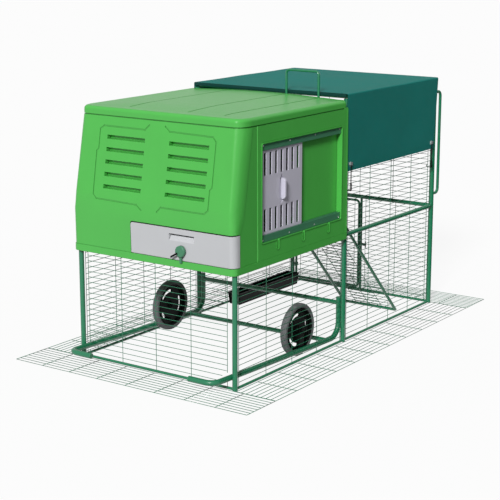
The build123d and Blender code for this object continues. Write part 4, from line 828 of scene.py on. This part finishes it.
class COOP_OT_sliding_vent(bpy.types.Operator):
    """Builds the vent door, its rails and their screws"""

    bl_idname = "coop.sliding_vent"
    bl_label = "Sliding vent"

    SLIDER_FACE = 0.407
    SLIDER_SHARE = 0.55
    # Reach of one screw, and the profile of its head against its radius and height
    SCREW_REACH = 0.012
    SCREW_HEAD = ((0, 0), (1, 0), (1, 0.35), (0.8, 0.8), (0.4, 1), (0.3, 0.6), (0, 0.5))

    def thin(self, slider):
        """Draws the door's back up to its face, so that its slots show less wall."""
        for vert in slider.data.vertices:
            deep = self.SLIDER_FACE - vert.co.x
            if deep > 0:
                vert.co.x = self.SLIDER_FACE - deep * self.SLIDER_SHARE

    def screw_heads(self):
        """Pan heads with a recess, one for each packed screw."""
        low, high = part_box("vent_screws")
        source = packed_mesh("vent_screws")
        spots = [vert.co.copy() for vert in source.verts]
        source.free()
        mesh = bmesh.new()
        while spots:
            near = [spot for spot in spots if (spot - spots[0]).length < self.SCREW_REACH]
            spots = [spot for spot in spots if spot not in near]
            middle = sum(near, Vector()) / len(near)
            radius = max(math.hypot(spot.y - middle.y, spot.z - middle.z) for spot in near)
            tall = high.x - low.x
            profile = [(max(HAIR, radius * out), tall * along) for out, along in self.SCREW_HEAD]
            lathe(mesh, profile, Vector((low.x, middle.y, middle.z)), RIGHT, 20)
        add_piece("screw_heads", mesh, "vent_screws")

    def execute(self, context):
        self.thin(soft_copy("louvred_slider", "vent_door"))
        soft_copy("slider_lower_rail", "vent_lower_rail")
        soft_copy("slider_upper_rail", "vent_upper_rail")
        self.screw_heads()
        return {"FINISHED"}


class COOP_OT_pop_door(bpy.types.Operator):
    """Builds the lifting door, its guides, its lift handle and the perches"""

    bl_idname = "coop.pop_door"
    bl_label = "Pop door"

    PERCH_CHAMFER = 0.12

    def lift_bar(self, bend):
        low, high, middle, radius = measure("lift_handle", 1)
        left, right, top = low.x + radius, high.x - radius, high.z - radius
        outline = ((left, low.z), (left, top), (right, top), (right, low.z))
        add_bar("lift_bar", "lift_handle", in_plane(1, middle.y, outline), [bend], radius)

    def perches(self):
        low, high, middle, radius = measure("perch_bars", 2)
        chamfer = radius * self.PERCH_CHAMFER
        profile = [(HAIR, low.y), (radius - chamfer, low.y), (radius, low.y + chamfer),
                   (radius, high.y - chamfer), (radius - chamfer, high.y), (HAIR, high.y)]
        mesh = bmesh.new()
        for x in (low.x + radius, high.x - radius):
            lathe(mesh, profile, Vector((x, 0, middle.z)), REARWARD, 32)
        add_piece("roosting_bars", mesh, "perch_bars")

    def execute(self, context):
        soft_copy("lifting_door", "pop_door")
        soft_copy("door_channels", "pop_door_guides")
        self.lift_bar(context.scene.coop_sizes.lift_bend)
        self.perches()
        return {"FINISHED"}


class COOP_OT_ramp(bpy.types.Operator):
    """Builds the ramp of bent tube and welded wire"""

    bl_idname = "coop.ramp"
    bl_label = "Ramp"

    def execute(self, context):
        sizes = context.scene.coop_sizes
        low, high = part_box("ladder")
        pivot = Vector(JOINTS["ramp_swing"]["pos_m"])
        radius = high.z - pivot.z
        sides = low.x + radius, high.x - radius
        bends = ((sizes.ramp_foot, low.z + radius), (pivot.y + sizes.ramp_level, pivot.z), (pivot.y, pivot.z))
        left, right = [in_plane(0, x, bends) for x in sides]
        tubes = bmesh.new()
        add_bent(tubes, left + right[::-1], [sizes.handle_bend], radius, sides=16)
        add_tube(tubes, [left[0], right[0]], radius)
        add_piece("ramp_tubes", tubes, "ladder", "tube_green")
        slope = left[1] - left[0]
        way = slope.normalized()
        half = (sides[1] - sides[0]) / 2
        columns = spread(-half, half, sizes.net_columns)
        rows = spread(0, slope.length - sizes.handle_bend, sizes.ramp_rows)
        origin = (left[0] + right[0]) / 2
        mesh = bmesh.new()
        add_net(mesh, origin, RIGHT, way, columns[1:-1], rows, sizes.wire)
        for row in rows:
            add_line(mesh, origin + way * row, RIGHT, -half, half, sizes.wire)
        add_piece("wire_ramp", mesh, "ladder")
        return {"FINISHED"}


class COOP_OT_rear_door(bpy.types.Operator):
    """Builds the run's rear door, its hinge eyes and its latch"""

    bl_idname = "coop.rear_door"
    bl_label = "Rear door"

    HINGE_EDGE = 0.6

    def execute(self, context):
        sizes = context.scene.coop_sizes
        low, high, middle, radius = measure("run_door", 1)
        left, right = low.x + radius, high.x - radius
        bottom, top = low.z + radius, high.z - radius
        corners = in_plane(1, middle.y, rectangle(left, right, bottom, top))
        add_bar("door_tubes", "run_door", corners, [sizes.door_bend], radius, "tube_green",
                closed=True, sides=14)
        columns = spread(-right + sizes.net_margin, -left - sizes.net_margin, sizes.net_columns // 2)
        rows = spread(bottom, top, sizes.low_rows)
        mesh = bmesh.new()
        add_net(mesh, REARWARD * middle.y, -RIGHT, UP, columns, rows, sizes.wire)
        add_piece("wire_door", mesh, "run_door")
        soft_copy("hinge_eyes", "run_door_hinges", self.HINGE_EDGE)
        latch = soft_copy("turning_latch", "run_door_latch")
        pivot = JOINTS["door_latch_turn"]["pos_m"][0]
        for vert in latch.data.vertices:
            vert.co.x = pivot + (vert.co.x - pivot) * sizes.latch_share
        return {"FINISHED"}


class COOP_OT_feed_trough(bpy.types.Operator):
    """Rounds the edges of the hanging feed trough"""

    bl_idname = "coop.feed_trough"
    bl_label = "Feed trough"

    TROUGH_EDGE = 0.8

    def execute(self, context):
        soft_copy("hanging_trough", "feed_trough", self.TROUGH_EDGE)
        return {"FINISHED"}


class COOP_OT_chassis(bpy.types.Operator):
    """Builds the skids, cross tubes, wheels and their fixings"""

    bl_idname = "coop.chassis"
    bl_label = "Chassis"

    # Packed and shown radii of the wheel disc, and the radius and half width beyond which its rim lies
    HUB_RADII = ((0.0, 0.0), (0.018, 0.018), (0.0505, 0.0585), (0.0655, 0.0735), (0.082, 0.088),
                 (0.089, 0.093))
    HUB_RIM = (0.08, 0.01)
    # Turn of the disc and the edges of it that are rounded, in degrees
    HUB_TURN = -15.0
    HUB_EDGE = 40.0
    # Points round the tyre's section, and how square the section is
    TYRE_STEPS = 28
    TYRE_POWER = 0.72
    FIXING_EDGE = 0.5

    def skid_corners(self, side, sizes):
        """Front end, two bends and top end of a skid's middle line."""
        low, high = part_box(f"{side}_skid")
        sign = -1 if side == "left" else 1
        radius = sizes.skid_tube / 2
        x = (high.x if sign > 0 else low.x) - sign * radius
        fore, rear = low.y + radius, high.y - radius
        return [Vector(point) for point in (
            (x - sign * sizes.skid_turn, fore, sizes.skid_front_height), (x, fore, sizes.skid_front_height),
            (x, rear, sizes.skid_rear_height), (x, rear, sizes.skid_top))]

    def skid(self, side, sizes):
        bends = [0, sizes.skid_front_bend, sizes.skid_rear_bend, 0]
        corners = self.skid_corners(side, sizes)
        add_bar(f"{side}_runner", f"{side}_skid", corners, bends, sizes.skid_tube / 2, sides=20, steps=12)

    def plugs(self, sizes):
        """Chamfered plugs that close the skids' four ends."""
        radius, tall = sizes.skid_tube / 2, sizes.skid_plug
        chamfer = tall / 3
        profile = [(HAIR, 0), (radius, 0), (radius, tall - chamfer), (radius - chamfer, tall), (HAIR, tall)]
        mesh = bmesh.new()
        for side in SIDES:
            corners = self.skid_corners(side, sizes)
            for end, before in ((corners[0], corners[1]), (corners[-1], corners[-2])):
                lathe(mesh, profile, end, end - before, 24)
        add_piece("runner_plugs", mesh, "skid_plugs", "dark_green_plastic")

    def cross_tube(self, node):
        low, high, middle, radius = measure(node, 2)
        ends = [Vector((x, middle.y, middle.z)) for x in (low.x, high.x)]
        add_bar(node.replace("tube", "member"), node, ends, [0], radius)

    def hub(self, side, sizes):
        """Wheel disc with its slots set further out and its rim level with the tyre's faces."""
        piece = soft_copy(f"{side}_wheel_disc", f"{side}_hub", angle=self.HUB_EDGE)
        middle = centre(f"{side}_hub")
        rim_radius, rim_half = self.HUB_RIM
        tyre_half = measure(f"{side}_tyre", 0)[3] - sizes.soft_edge / 2
        turn = Quaternion(RIGHT, math.radians(self.HUB_TURN))
        for vert in piece.data.vertices:
            along = vert.co.x - middle.x
            spoke = turn @ Vector((0, vert.co.y - middle.y, vert.co.z - middle.z))
            radius = spoke.length
            if radius > rim_radius and abs(along) > rim_half:
                along = math.copysign(tyre_half, along)
            spoke *= on_levels(self.HUB_RADII, radius) / radius
            vert.co = middle + spoke + RIGHT * along

    def squared(self, value, half):
        """A circle's coordinate, drawn out towards a square's."""
        return math.copysign(abs(value) ** self.TYRE_POWER, value) * half

    def tyre(self, side):
        low, high, middle, half = measure(f"{side}_tyre", 0)
        inner, outer = self.HUB_RADII[-1][1], (high.z - low.z) / 2
        profile = []
        for angle in spread(0, -2 * math.pi, self.TYRE_STEPS)[:-1]:
            out = self.squared(math.sin(angle), (outer - inner) / 2)
            profile.append(((inner + outer) / 2 + out, self.squared(math.cos(angle), half)))
        mesh = bmesh.new()
        lathe(mesh, profile, middle, RIGHT, 80)
        add_piece(f"{side}_solid_tyre", mesh, f"{side}_tyre", hard=False)

    def execute(self, context):
        sizes = context.scene.coop_sizes
        for side in SIDES:
            self.skid(side, sizes)
            self.tyre(side)
            self.hub(side, sizes)
        self.cross_tube("upper_cross_tube")
        self.cross_tube("lower_cross_tube")
        self.plugs(sizes)
        soft_copy("wheel_brackets", "wheel_lugs", self.FIXING_EDGE)
        soft_copy("wheel_bolts", "axle_bolts", self.FIXING_EDGE, slot="black_plastic")
        return {"FINISHED"}


class COOP_OT_cloth_cover(bpy.types.Operator):
    """Builds the run's cloth cover with its hem and stitches, and the four ties"""

    bl_idname = "coop.cloth_cover"
    bl_label = "Cloth cover"

    # Steps down a flap, round its fold, across the top, along the cover and along a hem
    FLAP_STEPS = 12
    FOLD_STEPS = 6
    TOP_STEPS = 24
    LONG_STEPS = 40
    HEM_STEPS = 60
    # Height of the top's ripples in metres, and their pace across and along it in radians per metre
    TOP_RIPPLE = 0.0006
    TOP_PACE = (9, 14)
    # Pace of a flap's long ripples, number of its short ones, and the share of both in its swell
    FLAP_PACE = 23
    FLAP_COUNT = 3
    FLAP_RIPPLES = (0.4, 0.25)
    # Where the front edge's bend is eased, against its size
    FOLD_EASE = 0.3
    # Lift and thickness of a stitch against the cloth, and the share of it that is thread
    STITCH_LIFT = 0.6
    STITCH_THICK = 0.22
    STITCH_SHARE = 0.6
    EYELET_STEPS = 16
    # Bend of a hook's loop against its half width, and rounding of the clips against the mouldings
    HOOK_ROUND = 0.96
    CLIP_EDGE = 0.5

    def section(self, sizes, box):
        """Spots across the cover's middle layer from hem to hem, each with how far down a flap it lies."""
        low, high = box
        half, top, bend = high.x - sizes.cloth, high.z - sizes.cloth, sizes.cloth_fold
        spots = []
        for share in spread(0, 1, self.FLAP_STEPS)[:-1]:
            spots.append((-half, low.z + (top - bend - low.z) * share, 1 - share))
        for angle in spread(0, math.pi / 2, self.FOLD_STEPS):
            spots.append((bend * (1 - math.cos(angle)) - half, top - bend * (1 - math.sin(angle)), 0.0))
        other_side = [(-x, z, down) for x, z, down in reversed(spots)]
        places = spread(bend - half, half - bend, self.TOP_STEPS)[1:-1]
        return spots + [(x, top, 0.0) for x in places] + other_side

    def lay(self, spot, share, sizes, box):
        """Where a spot hangs along the cover: the top sinks a little and the flaps ripple outwards."""
        x, z, down = spot
        low, high = box
        fore = low.y + sizes.cloth_lead
        y = fore + (high.y - sizes.cloth_tuck * down - fore) * share
        arch = math.sin(math.pi * share)
        if down == 0.0:
            sink = sizes.cloth_sag * max(0.0, 1 - (x / high.x) ** 2)
            ripple = self.TOP_RIPPLE * math.sin(self.TOP_PACE[0] * x + self.TOP_PACE[1] * y)
            return Vector((x, y, z + (ripple - sink) * arch))
        long, short = self.FLAP_RIPPLES
        wave = arch * down * (1 + long * math.sin(self.FLAP_PACE * y))
        ripple = short * down * math.sin(math.pi * share * self.FLAP_COUNT) ** 2
        return Vector((x + math.copysign(sizes.cloth_swell * (wave + ripple), x), y, z))

    def front_fold(self, mesh, sizes, box, x, z):
        """Points that carry the top's front edge forward and down over the hoop."""
        fore, bend = box[0].y + sizes.cloth / 2, sizes.cloth_lead / 2
        ease = bend * self.FOLD_EASE
        outline = ((fore, z - sizes.cloth_drop), (fore, z - bend), (fore + ease, z - ease))
        return [mesh.verts.new((x, y, level)) for y, level in outline]

    def cloth(self, sizes, box):
        """The sheet itself, with its flat size."""
        section = self.section(sizes, box)
        top_half = section[-1][0] - sizes.cloth_fold + HAIR
        mesh = bmesh.new()
        grid = []
        for spot in section:
            points = [self.lay(spot, share, sizes, box) for share in spread(0, 1, self.LONG_STEPS)]
            row = [mesh.verts.new(point) for point in points]
            if abs(spot[0]) <= top_half:
                row = self.front_fold(mesh, sizes, box, *spot[:2]) + row
            grid.append(row)
        for row, after in zip(grid, grid[1:]):
            folded = min(len(row), len(after))
            row, after = row[-folded:], after[-folded:]
            for step in range(folded - 1):
                mesh.faces.new((row[step], row[step + 1], after[step + 1], after[step]))
        bmesh.ops.recalc_face_normals(mesh, faces=mesh.faces)
        piece = add_piece("shade_cloth", mesh, "run_cover", hard=False)
        thicken = piece.modifiers.new("cloth", "SOLIDIFY")
        thicken.thickness = sizes.cloth
        thicken.offset = 0.0
        piece.modifiers.new("even shading", "WEIGHTED_NORMAL")
        spots = [Vector(spot[:2]) for spot in section]
        across = sum((after - spot).length for spot, after in zip(spots, spots[1:]))
        return piece, (across, box[1].y - box[0].y + sizes.cloth_drop)

    def hem_lines(self, sizes, box):
        """Runs of stitching: over the cover near both ends, and along both hems."""
        section = self.section(sizes, box)
        inset = sizes.hem / (box[1].y - box[0].y - sizes.cloth_lead)
        lines = [[self.lay(spot, share, sizes, box) for spot in section] for share in (inset, 1 - inset)]
        bottom = section[0][1]
        rise = sizes.hem / (section[self.FLAP_STEPS][1] - bottom)
        for x in (section[0][0], section[-1][0]):
            spot = (x, bottom + sizes.hem, 1 - rise)
            shares = spread(inset, 1 - inset, self.HEM_STEPS)
            lines.append([self.lay(spot, share, sizes, box) for share in shares])
        return lines

    def stitches(self, sizes, box):
        """Short raised threads along the hem lines."""
        mesh = bmesh.new()
        crown = box[1].z - sizes.cloth_fold
        thread = sizes.stitch * self.STITCH_SHARE
        for line in self.hem_lines(sizes, box):
            carried = 0.0
            for start, end in zip(line, line[1:]):
                run = (end - start).length
                way = (end - start).normalized()
                while carried < run:
                    spot = start + way * carried
                    outward = RIGHT * math.copysign(1, spot.x) if spot.z < crown else UP
                    spot = spot + outward * sizes.cloth * self.STITCH_LIFT
                    add_tube(mesh, [spot, spot + way * thread], sizes.cloth * self.STITCH_THICK, sides=5)
                    carried += sizes.stitch
                carried -= run
        return add_piece("hem_stitches", mesh, "run_cover", hard=False)

    def hook(self, mesh, sizes, top):
        """Looped hook that hangs from a cord's end, with its wire end bent round a wire of the wall."""
        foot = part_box("cover_hooks")[0].z
        wall, wire = sizes.hook_wall / 2, sizes.hook_wire
        half = sizes.hook_wide / 2 - wall
        corners = in_plane(0, top.x, rectangle(top.y - half, top.y + half, foot + wall, top.z - wall))
        add_bent(mesh, corners, [half * self.HOOK_ROUND], wall, closed=True, sides=12)
        under = foot + wire / 2
        inside = math.copysign(centre("mid_right_post").x - 2 * wire, top.x)
        outline = ((top.x, under), (inside, under), (inside, under + 3 * wire))
        add_bent(mesh, in_plane(1, top.y, outline), [wire], wire / 2, sides=10)

    def ties(self, sizes):
        """Rings, clips, cords and hooks."""
        low, high, middle, radius = measure("cover_grommets", 2)
        cord_low, cord_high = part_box("cover_cords")
        clip_low, clip_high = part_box("cover_clips")
        clip_end = clip_high.z - (clip_high.z - clip_low.z) * sizes.clip_share
        loop_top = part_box("cover_hooks")[0].z + sizes.hook_loop
        bore, tall, thick = sizes.eyelet_bore / 2, sizes.eyelet_tall / 2, sizes.tie_cord / 2
        profile = []
        for angle in spread(0, 2 * math.pi, self.EYELET_STEPS)[:-1]:
            out = (radius + bore) / 2 + math.cos(angle) * (radius - bore) / 2
            profile.append((out, math.sin(angle) * tall - tall))
        rings, cords, hooks = bmesh.new(), bmesh.new(), bmesh.new()
        for sign, ring_x, cord_x in ((-1, low.x, cord_low.x + thick), (1, high.x, cord_high.x - thick)):
            for y in (low.y + radius, high.y - radius):
                lathe(rings, profile, Vector((ring_x, y, middle.z)), RIGHT * sign, 32)
                ends = [Vector((cord_x, y, z)) for z in (clip_end, loop_top)]
                add_tube(cords, ends, thick, sides=10)
                self.hook(hooks, sizes, ends[1])
        add_piece("eyelet_rings", rings, "cover_grommets", hard=False)
        add_piece("tie_cords", cords, "cover_cords")
        clips = soft_copy("tie_clips", "cover_clips", self.CLIP_EDGE, slot="bright_steel")
        for vert in clips.data.vertices:
            vert.co.z = clip_high.z - (clip_high.z - vert.co.z) * sizes.clip_share
        add_piece("tie_hooks", hooks, "cover_hooks", "black_plastic")

    def execute(self, context):
        sizes = context.scene.coop_sizes
        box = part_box("run_cover")
        piece, flat = self.cloth(sizes, box)
        stitches = self.stitches(sizes, box)
        self.ties(sizes)
        return {"FINISHED"}


class COOP_OT_stage(bpy.types.Operator):
    """Sets the pale floor, the studio light and the camera"""

    bl_idname = "coop.stage"
    bl_label = "Stage"

    WHITE = (1, 1, 1, 1)
    CAMERA_PLACE = (3.4269, -5.0279, 1.7870)
    CAMERA_YAW = 35.26
    CAMERA_PITCH = -12.96
    CAMERA_REACH = 500.0
    SENSOR_WIDTH = 36.0
    FOCAL_PIXELS = 1369.8
    FRAME_PIXELS = 500.0
    AXIS_PIXEL = (245.1, 245.6)

    # Direction, strength and softness in degrees of the key light
    KEY_LIGHT = ((-0.29, 0.797, -0.53), 2.92, 12.0)
    SKY_STRENGTH = 0.24
    SKY_MIRROR = 0.54
    FLOOR_REACH = 120.0
    FLOOR_SINK = 0.0006
    FLOOR_BOUNCE = 0.2
    FLOOR_WHITE = 0.9
    # Near and far end of the flag, and the place and height of its lower and upper edge
    FLAG_Y = (-0.7, 5.0)
    FLAG_LEAN = ((0.65, 0.001), (2.4, 2.4))

    def board(self, name, corners, finish):
        """A flat board of the studio."""
        mesh = bmesh.new()
        mesh.faces.new([mesh.verts.new(corner) for corner in corners])
        made = add_object(name, mesh, finish.owner)
        return made

    def whiten(self, finish, glow, share, mirror, output):
        """Shows white to the rays that see the background, and the finish itself to the others."""
        own = Field(finish, finish.shader.outputs[0])
        white = finish.node(glow, None, {"Color": self.WHITE, "Strength": 1.0})
        inputs = {0: finish.straight(mirror) * share, 1: own, 2: white}
        surface = finish.node("ShaderNodeMixShader", None, inputs)
        finish.feed(finish.tree.nodes[output].inputs["Surface"], surface)

    def floor(self):
        """White floor that keeps the shadow but throws little light back up."""
        finish = new_finish("studio_floor", {"Roughness": 0.9, "Specular IOR Level": 0.1})
        bounce = (self.FLOOR_BOUNCE, self.FLOOR_BOUNCE, self.FLOOR_BOUNCE, 1)
        seen = finish.node("ShaderNodeLightPath", output="Is Camera Ray")
        finish.feed(finish.shader.inputs["Base Color"], finish.blend(seen, bounce, self.WHITE))
        self.whiten(finish, "ShaderNodeEmission", self.FLOOR_WHITE, 1.0, "Material Output")
        reach = self.FLOOR_REACH
        outline = rectangle(-reach, reach, -reach, reach)
        self.board("floor", in_plane(2, -self.FLOOR_SINK, outline), finish)

    def flag(self):
        """Black cloth board that keeps white glare off the right wall."""
        finish = new_finish("studio_flag", {"Base Color": (0, 0, 0, 1), "Specular IOR Level": 0.0})
        near, far = self.FLAG_Y
        (low_x, low_z), (high_x, high_z) = self.FLAG_LEAN
        corners = ((low_x, near, low_z), (low_x, far, low_z), (high_x, far, high_z), (high_x, near, high_z))
        board = self.board("flag", corners, finish)
        for rays in ("camera", "diffuse", "shadow", "transmission"):
            setattr(board, f"visible_{rays}", False)

    def world(self, context):
        constants = {"Strength": self.SKY_STRENGTH, "Color": self.WHITE}
        sky = Finish(bpy.data.worlds.new("studio"), "Background", constants)
        self.whiten(sky, "ShaderNodeBackground", 1.0, self.SKY_MIRROR, "World Output")
        context.scene.world = sky.owner

    def aimed(self, context, data, direction):
        """Puts a lamp or camera in the scene, looking a given way."""
        holder = bpy.data.objects.new(data.name, data)
        holder.rotation_mode = "QUATERNION"
        holder.rotation_quaternion = Vector(direction).to_track_quat("-Z", "Y")
        context.scene.collection.objects.link(holder)
        return holder

    def light(self, context):
        direction, strength, softness = self.KEY_LIGHT
        lamp = bpy.data.lights.new("key_light", "SUN")
        lamp.energy = strength
        lamp.angle = math.radians(softness)
        self.aimed(context, lamp, direction)

    def camera(self, context):
        lens = bpy.data.cameras.new("camera")
        lens.sensor_width = self.SENSOR_WIDTH
        lens.lens = self.FOCAL_PIXELS / self.FRAME_PIXELS * lens.sensor_width
        lens.shift_x = (self.FRAME_PIXELS / 2 - self.AXIS_PIXEL[0]) / self.FRAME_PIXELS
        lens.shift_y = (self.AXIS_PIXEL[1] - self.FRAME_PIXELS / 2) / self.FRAME_PIXELS
        lens.clip_end = self.CAMERA_REACH
        yaw, pitch = math.radians(self.CAMERA_YAW), math.radians(self.CAMERA_PITCH)
        aim = (-math.sin(yaw) * math.cos(pitch), math.cos(yaw) * math.cos(pitch), math.sin(pitch))
        holder = self.aimed(context, lens, aim)
        holder.location = self.CAMERA_PLACE
        context.scene.camera = holder

    def execute(self, context):
        self.floor()
        self.flag()
        self.world(context)
        self.light(context)
        self.camera(context)
        context.scene.view_settings.view_transform = "Standard"
        return {"FINISHED"}


OPERATORS = (
    COOP_OT_tube_frame,
    COOP_OT_wire_walls,
    COOP_OT_ground_aprons,
    COOP_OT_house_shell,
    COOP_OT_egg_drawer,
    COOP_OT_sliding_vent,
    COOP_OT_pop_door,
    COOP_OT_ramp,
    COOP_OT_rear_door,
    COOP_OT_feed_trough,
    COOP_OT_chassis,
    COOP_OT_cloth_cover,
    COOP_OT_stage,
)


class COOP_PT_panel(bpy.types.Panel):
    """Sidebar panel that lists the steps, sizes and colours"""

    bl_idname = "COOP_PT_panel"
    bl_label = "Hen House"
    bl_space_type = "VIEW_3D"
    bl_region_type = "UI"
    bl_category = "Hen House"

    def draw(self, context):
        for operator in OPERATORS:
            self.layout.operator(operator.bl_idname)
        for group in (context.scene.coop_sizes, context.scene.coop_colours):
            for name in group.__annotations__:
                self.layout.prop(group, name)


CLASSES = (CoopSizes, CoopColours, *OPERATORS, COOP_PT_panel)


def register():
    for entry in CLASSES:
        bpy.utils.register_class(entry)
    bpy.types.Scene.coop_sizes = PointerProperty(type=CoopSizes)
    bpy.types.Scene.coop_colours = PointerProperty(type=CoopColours)


def unregister():
    del bpy.types.Scene.coop_colours
    del bpy.types.Scene.coop_sizes
    for entry in reversed(CLASSES):
        bpy.utils.unregister_class(entry)


def main():
    register()
    for operator in OPERATORS:
        step = operator.bl_idname.partition(".")[2]
        getattr(bpy.ops.coop, step)()


if __name__ == "__main__":
    main()
